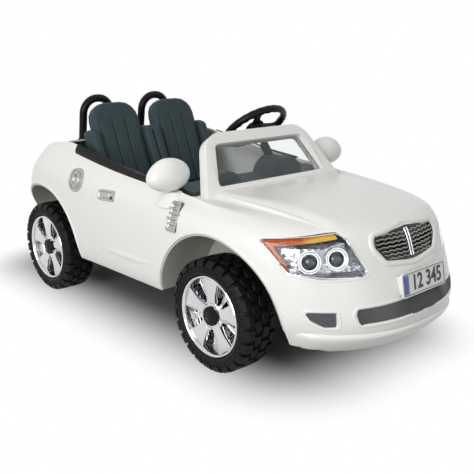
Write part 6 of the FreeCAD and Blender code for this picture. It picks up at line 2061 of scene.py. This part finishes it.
@dataclass
class Dashboard(Assembly):
    """Dials, vents and bezels of the dashboard."""

    driver: float = 0.1145
    face_y: float = -0.085
    ahead_of: float = 0.2
    dial_set: float = 0.031
    dial_z: float = 0.437
    dial_radius: float = 0.0175
    ticks: int = 11
    tick_turns: Flat = (-120.0, 24.0)
    tick_lengths: Flat = (0.0045, 0.0032)
    needle_turn: float = -70.0
    vents: tuple[Size, ...] = (
        (-0.1145, 0.408, 0.03), (-0.205, 0.39, 0.02), (0.205, 0.39, 0.02))
    vent_pitch: float = 0.32
    vent_tilt: float = 35.0
    bezels: tuple[tuple[str, float], ...] = (("charge_socket", 0.0125), ("power_button", 0.0105))
    steps: int = 40
    skin: Skin = field(default_factory=lambda: Skin("dashboard"))

    def on_face(self, across: float, up: float) -> Matrix:
        """Placement on the dashboard's face, X axis towards the seats."""
        found = self.skin.hit(Vector((across, self.ahead_of, up)), AHEAD)
        return axis_on(found[0] if found else Vector((across, self.face_y, up)), Y_AXIS)

    def dials(self) -> None:
        """Two dials with ticks and a needle."""
        bezels, faces, marks = Mould(), Mould(), Mould()
        radius = self.dial_radius
        for across in (self.driver - self.dial_set, self.driver + self.dial_set):
            seat = self.on_face(across, self.dial_z)
            bezels.spin([(-0.002, radius - 0.003), (-0.002, radius + 0.0015), (0.0045, radius + 0.001),
                         (0.0055, radius - 0.0008), (0.002, radius - 0.003)], self.steps, seat)
            faces.spin([(-0.002, 0.0), (-0.002, radius - 0.0025), (0.0012, radius - 0.0025), (0.0012, 0.0)],
                       self.steps, seat)
            for tick in range(self.ticks):
                turn = turned(self.tick_turns[0] + self.tick_turns[1] * tick, "X")
                marks.block((0.0008, 0.001, self.tick_lengths[tick % 2]), 0.0002,
                            seat @ turn @ moved(0.0013, 0, radius - 0.0058), 1)
            needle = turned(self.needle_turn, "X") @ moved(0.002, 0, radius * 0.32)
            marks.block((0.0009, 0.0016, radius * 0.85), 0.0003, seat @ needle, 1)
        self.fit(bezels, "dial_bezels", "silver")
        self.fit(faces, "dial_faces", "trim_black")
        self.fit(marks, "dial_marks", "plate_white")

    def air_vents(self) -> None:
        """Round vents with slanted fins over wells painted near black as shade."""
        vents, wells = Mould(), Mould()
        tilt = turned(self.vent_tilt, "Y")
        for across, up, radius in self.vents:
            seat = self.on_face(across, up)
            vents.spin([(-0.002, radius - 0.004), (-0.002, radius + 0.002), (0.003, radius + 0.0015),
                        (0.0048, radius - 0.0005), (0.003, radius - 0.004)], self.steps, seat)
            wells.spin([(-0.002, 0.0), (-0.002, radius - 0.003), (0.0004, radius - 0.003), (0.0004, 0.0)], 32,
                       seat)
            for fin in range(-2, 3):
                rise = fin * radius * self.vent_pitch
                width = 2 * math.sqrt(max(0.0, (radius - 0.004) ** 2 - rise ** 2))
                vents.block((0.005, width, 0.0016), 0.0005, seat @ moved(0.0018, 0, rise) @ tilt, 1)
        self.fit(vents, "air_vents", "trim_black")
        # Near-black wells: painted shade at the back of each vent
        self.fit(wells, "air_vent_well_shade", "slate", "cavity")

    def build(self) -> None:
        """Builds and dresses what stands on the dashboard."""
        self.dials()
        self.air_vents()
        rings = Mould()
        for node, radius in self.bezels:
            low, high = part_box(node)
            seat = axis_on(Vector(((low.x + high.x) / 2, high.y, (low.z + high.z) / 2)), Y_AXIS)
            rings.spin([(-0.004, radius), (-0.004, radius + 0.005), (-0.0004, radius + 0.005),
                        (0.0016, radius + 0.0035), (0.0016, radius + 0.001), (0.0002, radius)], 36, seat)
        self.fit(rings, "control_bezels", "silver")


@dataclass
class Controls(Assembly):
    """Ribs of the pedal, rings of the gear lever and collars of the roll hoops."""

    pedal_out: Vector = field(default_factory=lambda: Vector((0, 0.6, 0.8)))
    pedal_ribs: int = 6
    rib: Size = (0.04, 0.005, 0.0036)
    rib_edge: float = 0.0014
    rib_pitch: float = 0.0115
    rib_lift: float = 0.0008
    hoop_feet: Flat = (-0.051, 0.051)
    hoop_inset: float = 0.0155
    collar: Outline = (
        (-0.006, 0.0128), (-0.006, 0.021), (0.0016, 0.021), (0.004, 0.019), (0.005, 0.015),
        (0.0085, 0.0136), (0.0085, 0.0128))
    knob_height: float = 0.03
    knob_cap: Outline = (
        (-0.004, 0.0), (-0.004, 0.0088), (-0.0012, 0.0088), (0.0006, 0.0072), (0.001, 0.0))
    knob_ring: Outline = (
        (-0.036, 0.0052), (-0.036, 0.0088), (-0.031, 0.0098), (-0.027, 0.0078), (-0.027, 0.0052))

    def pedal(self) -> None:
        """Raised ribs on the pedal's pad."""
        middle, out = node_front("accelerator_pedal", self.pedal_out, right_only=False)
        lay = frame_on(middle, out, X_AXIS)
        mould = Mould()
        for rib in range(self.pedal_ribs):
            along = (rib + 0.5 - self.pedal_ribs / 2) * self.rib_pitch
            mould.block(self.rib, self.rib_edge, lay @ moved(0, along, self.rib_lift))
        self.fit(mould, "pedal_ribs", "trim_black", body="pedal")

    def collars(self) -> None:
        """Turned collars where the hoops enter the deck."""
        skin = Skin("body_shell")
        mould = Mould()
        for side in Side:
            low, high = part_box(f"roll_hoop_{side.label}")
            for foot in self.hoop_feet:
                start = Vector(((low.x + high.x) / 2 + foot, high.y - self.hoop_inset, 1.0))
                found = skin.hit(start, -Z_AXIS)
                if found:
                    mould.spin(self.collar, 36, axis_on(*found))
        self.fit(mould, "hoop_collars", "trim_black")

    def lever(self) -> None:
        """Ring and cap on the lever's knob."""
        low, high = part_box("gear_lever")
        spots = [vert.co for vert in frame["nodes"]["gear_lever"].data.vertices
                 if vert.co.z > high.z - self.knob_height]
        along = sum(spot.y for spot in spots) / len(spots)
        upright = moved((low.x + high.x) / 2, along, high.z) @ X_TO_UP
        mould = Mould()
        mould.spin(self.knob_cap, 32, upright)
        mould.spin(self.knob_ring, 32, upright)
        self.fit(mould, "lever_rings", "silver", body="lever")

    def build(self) -> None:
        """Builds and dresses the controls' details."""
        self.pedal()
        self.collars()
        self.lever()


# Studio


@dataclass(frozen=True)
class Lamp:
    """Soft square lamp."""

    name: str
    place: Size
    aim: Size
    size: float
    watts: float

    def hang(self) -> None:
        """Hangs the lamp and points it at its aim."""
        data = bpy.data.lights.new(self.name, "AREA")
        data.size = self.size
        data.energy = self.watts
        lamp = bpy.data.objects.new(self.name, data)
        lamp.location = self.place
        lamp.rotation_euler = (Vector(self.aim) - Vector(self.place)).to_track_quat("-Z", "Y").to_euler()
        bpy.context.scene.collection.objects.link(lamp)


LAMPS = (
    Lamp("top_light", (0.4, 0.6, 3.0), (0, 0, 0.2), 2.2, 3),
    Lamp("side_light", (-2.9, -1.1, 1.25), (0, 0, 0.25), 1.8, 66),
    Lamp("front_light", (-0.9, -3.2, 0.9), (0, 0, 0.25), 1.6, 7),
)


@dataclass
class Studio:
    """Floor with a painted shadow near the car that fades to white, soft light and the camera."""

    eye: Vector = field(default_factory=lambda: Vector((-1.3526, -1.5521, 0.7946)))
    tilt: float = 74.2933
    turn: float = -42.4935
    lens: float = 53.106
    floor_half: float = 12.0
    # Dark grey floor colour near the car: painted shadow that deepens the real one
    floor_shadow_grey: float = 0.19
    floor_rough: float = 0.9
    shade_middle: Flat = (0.026, 0.15)
    shade_half: Flat = (0.16, 0.56)
    fade: Flat = (0.0, 0.345)
    ambient: float = 0.53

    def camera(self) -> None:
        """Sets the camera at the photograph's place."""
        data = bpy.data.cameras.new("camera")
        data.lens = self.lens
        data.sensor_width = 36
        eye = bpy.data.objects.new("camera", data)
        eye.location = self.eye
        eye.rotation_euler = (math.radians(self.tilt), 0, math.radians(self.turn))
        bpy.context.scene.collection.objects.link(eye)
        bpy.context.scene.camera = eye

    def seen(self, tree: Tree) -> Socket:
        """Value that is 1 for what the camera, a reflection or clear plastic sees.

        Args:
            tree: Nodes that the value goes into.

        Returns:
            The value's socket.
        """
        path = tree.nodes.new("ShaderNodeLightPath")
        total = path.outputs["Is Camera Ray"]
        for name in ("Is Glossy Ray", "Is Transmission Ray"):
            total = combine(tree, "MAXIMUM", total, path.outputs[name])
        return total

    def world(self) -> None:
        """White surroundings that light the car at a plain level."""
        world = bpy.data.worlds.new("studio")
        world.use_nodes = True
        tree = world.node_tree
        back = tree.nodes["Background"]
        back.inputs["Color"].default_value = (1, 1, 1, 1)
        level = add_node(tree, "MapRange", {"Value": self.seen(tree), "To Min": self.ambient, "To Max": 1.0})
        tree.links.new(level.outputs["Result"], back.inputs["Strength"])
        bpy.context.scene.world = world

    def floor(self) -> None:
        """Floor that keeps the shadow near the car, deepened there by a dark grey colour as painted shadow,
        and fades to white.
        """
        material = bpy.data.materials.new("studio_floor")
        material.use_nodes = True
        tree = material.node_tree
        shader = tree.nodes["Principled BSDF"]
        # Dark grey near the car as painted shadow; farther off the floor fades to white
        shader.inputs["Base Color"].default_value = (self.floor_shadow_grey, self.floor_shadow_grey, self.floor_shadow_grey, 1)
        shader.inputs["Roughness"].default_value = self.floor_rough
        shader.inputs["Specular IOR Level"].default_value = 0.0
        value = object_spot(tree)
        for operation, amount in (("SUBTRACT", (*self.shade_middle, 0)), ("ABSOLUTE", None),
                                  ("SUBTRACT", (*self.shade_half, 0)), ("MAXIMUM", (0, 0, 0))):
            step = tree.nodes.new("ShaderNodeVectorMath")
            step.operation = operation
            tree.links.new(value, step.inputs[0])
            if amount:
                step.inputs[1].default_value = amount
            value = step.outputs["Vector"]
        reach = tree.nodes.new("ShaderNodeVectorMath")
        reach.operation = "LENGTH"
        tree.links.new(value, reach.inputs[0])
        far = add_node(tree, "MapRange", {
            "Value": reach.outputs["Value"], "From Min": self.fade[0], "From Max": self.fade[1]})
        far.interpolation_type = "SMOOTHSTEP"
        white = tree.nodes.new("ShaderNodeEmission")
        mix = tree.nodes.new("ShaderNodeMixShader")
        share = combine(tree, "MULTIPLY", far.outputs["Result"], self.seen(tree))
        tree.links.new(share, mix.inputs["Fac"])
        tree.links.new(shader.outputs["BSDF"], mix.inputs[1])
        tree.links.new(white.outputs["Emission"], mix.inputs[2])
        tree.links.new(mix.outputs["Shader"], tree.nodes["Material Output"].inputs["Surface"])
        mould = Mould()
        bmesh.ops.create_grid(mould.bm, x_segments=2, y_segments=2, size=self.floor_half)
        floor = bpy.data.objects.new("studio_floor", mould.mesh("studio_floor"))
        floor.data.materials.append(material)
        bpy.context.scene.collection.objects.link(floor)

    def build(self) -> None:
        """Sets up the floor, the light and the camera."""
        bpy.context.scene.view_settings.view_transform = "Standard"
        self.camera()
        self.world()
        self.floor()
        for lamp in LAMPS:
            lamp.hang()


def main() -> None:
    """Builds the studio and every piece of the car."""
    logging.basicConfig(level=logging.INFO, format="%(name)s %(message)s")
    Studio().build()
    palette = Palette()
    palette.dress_nodes()
    for end in End:
        for side in Side:
            Wheel(palette, end, side).build()
    for assembly in (Nose, Headlamps, NumberPlate, BodyBeads, SideTrim, Windscreen, SteeringWheel, Dashboard,
                     Controls):
        assembly(palette).build()
    for side in Side:
        Mirror(palette, side).build()
        Seat(palette, side).build()
    MirrorFeet(palette).build()


if __name__ == "__main__":
    main()
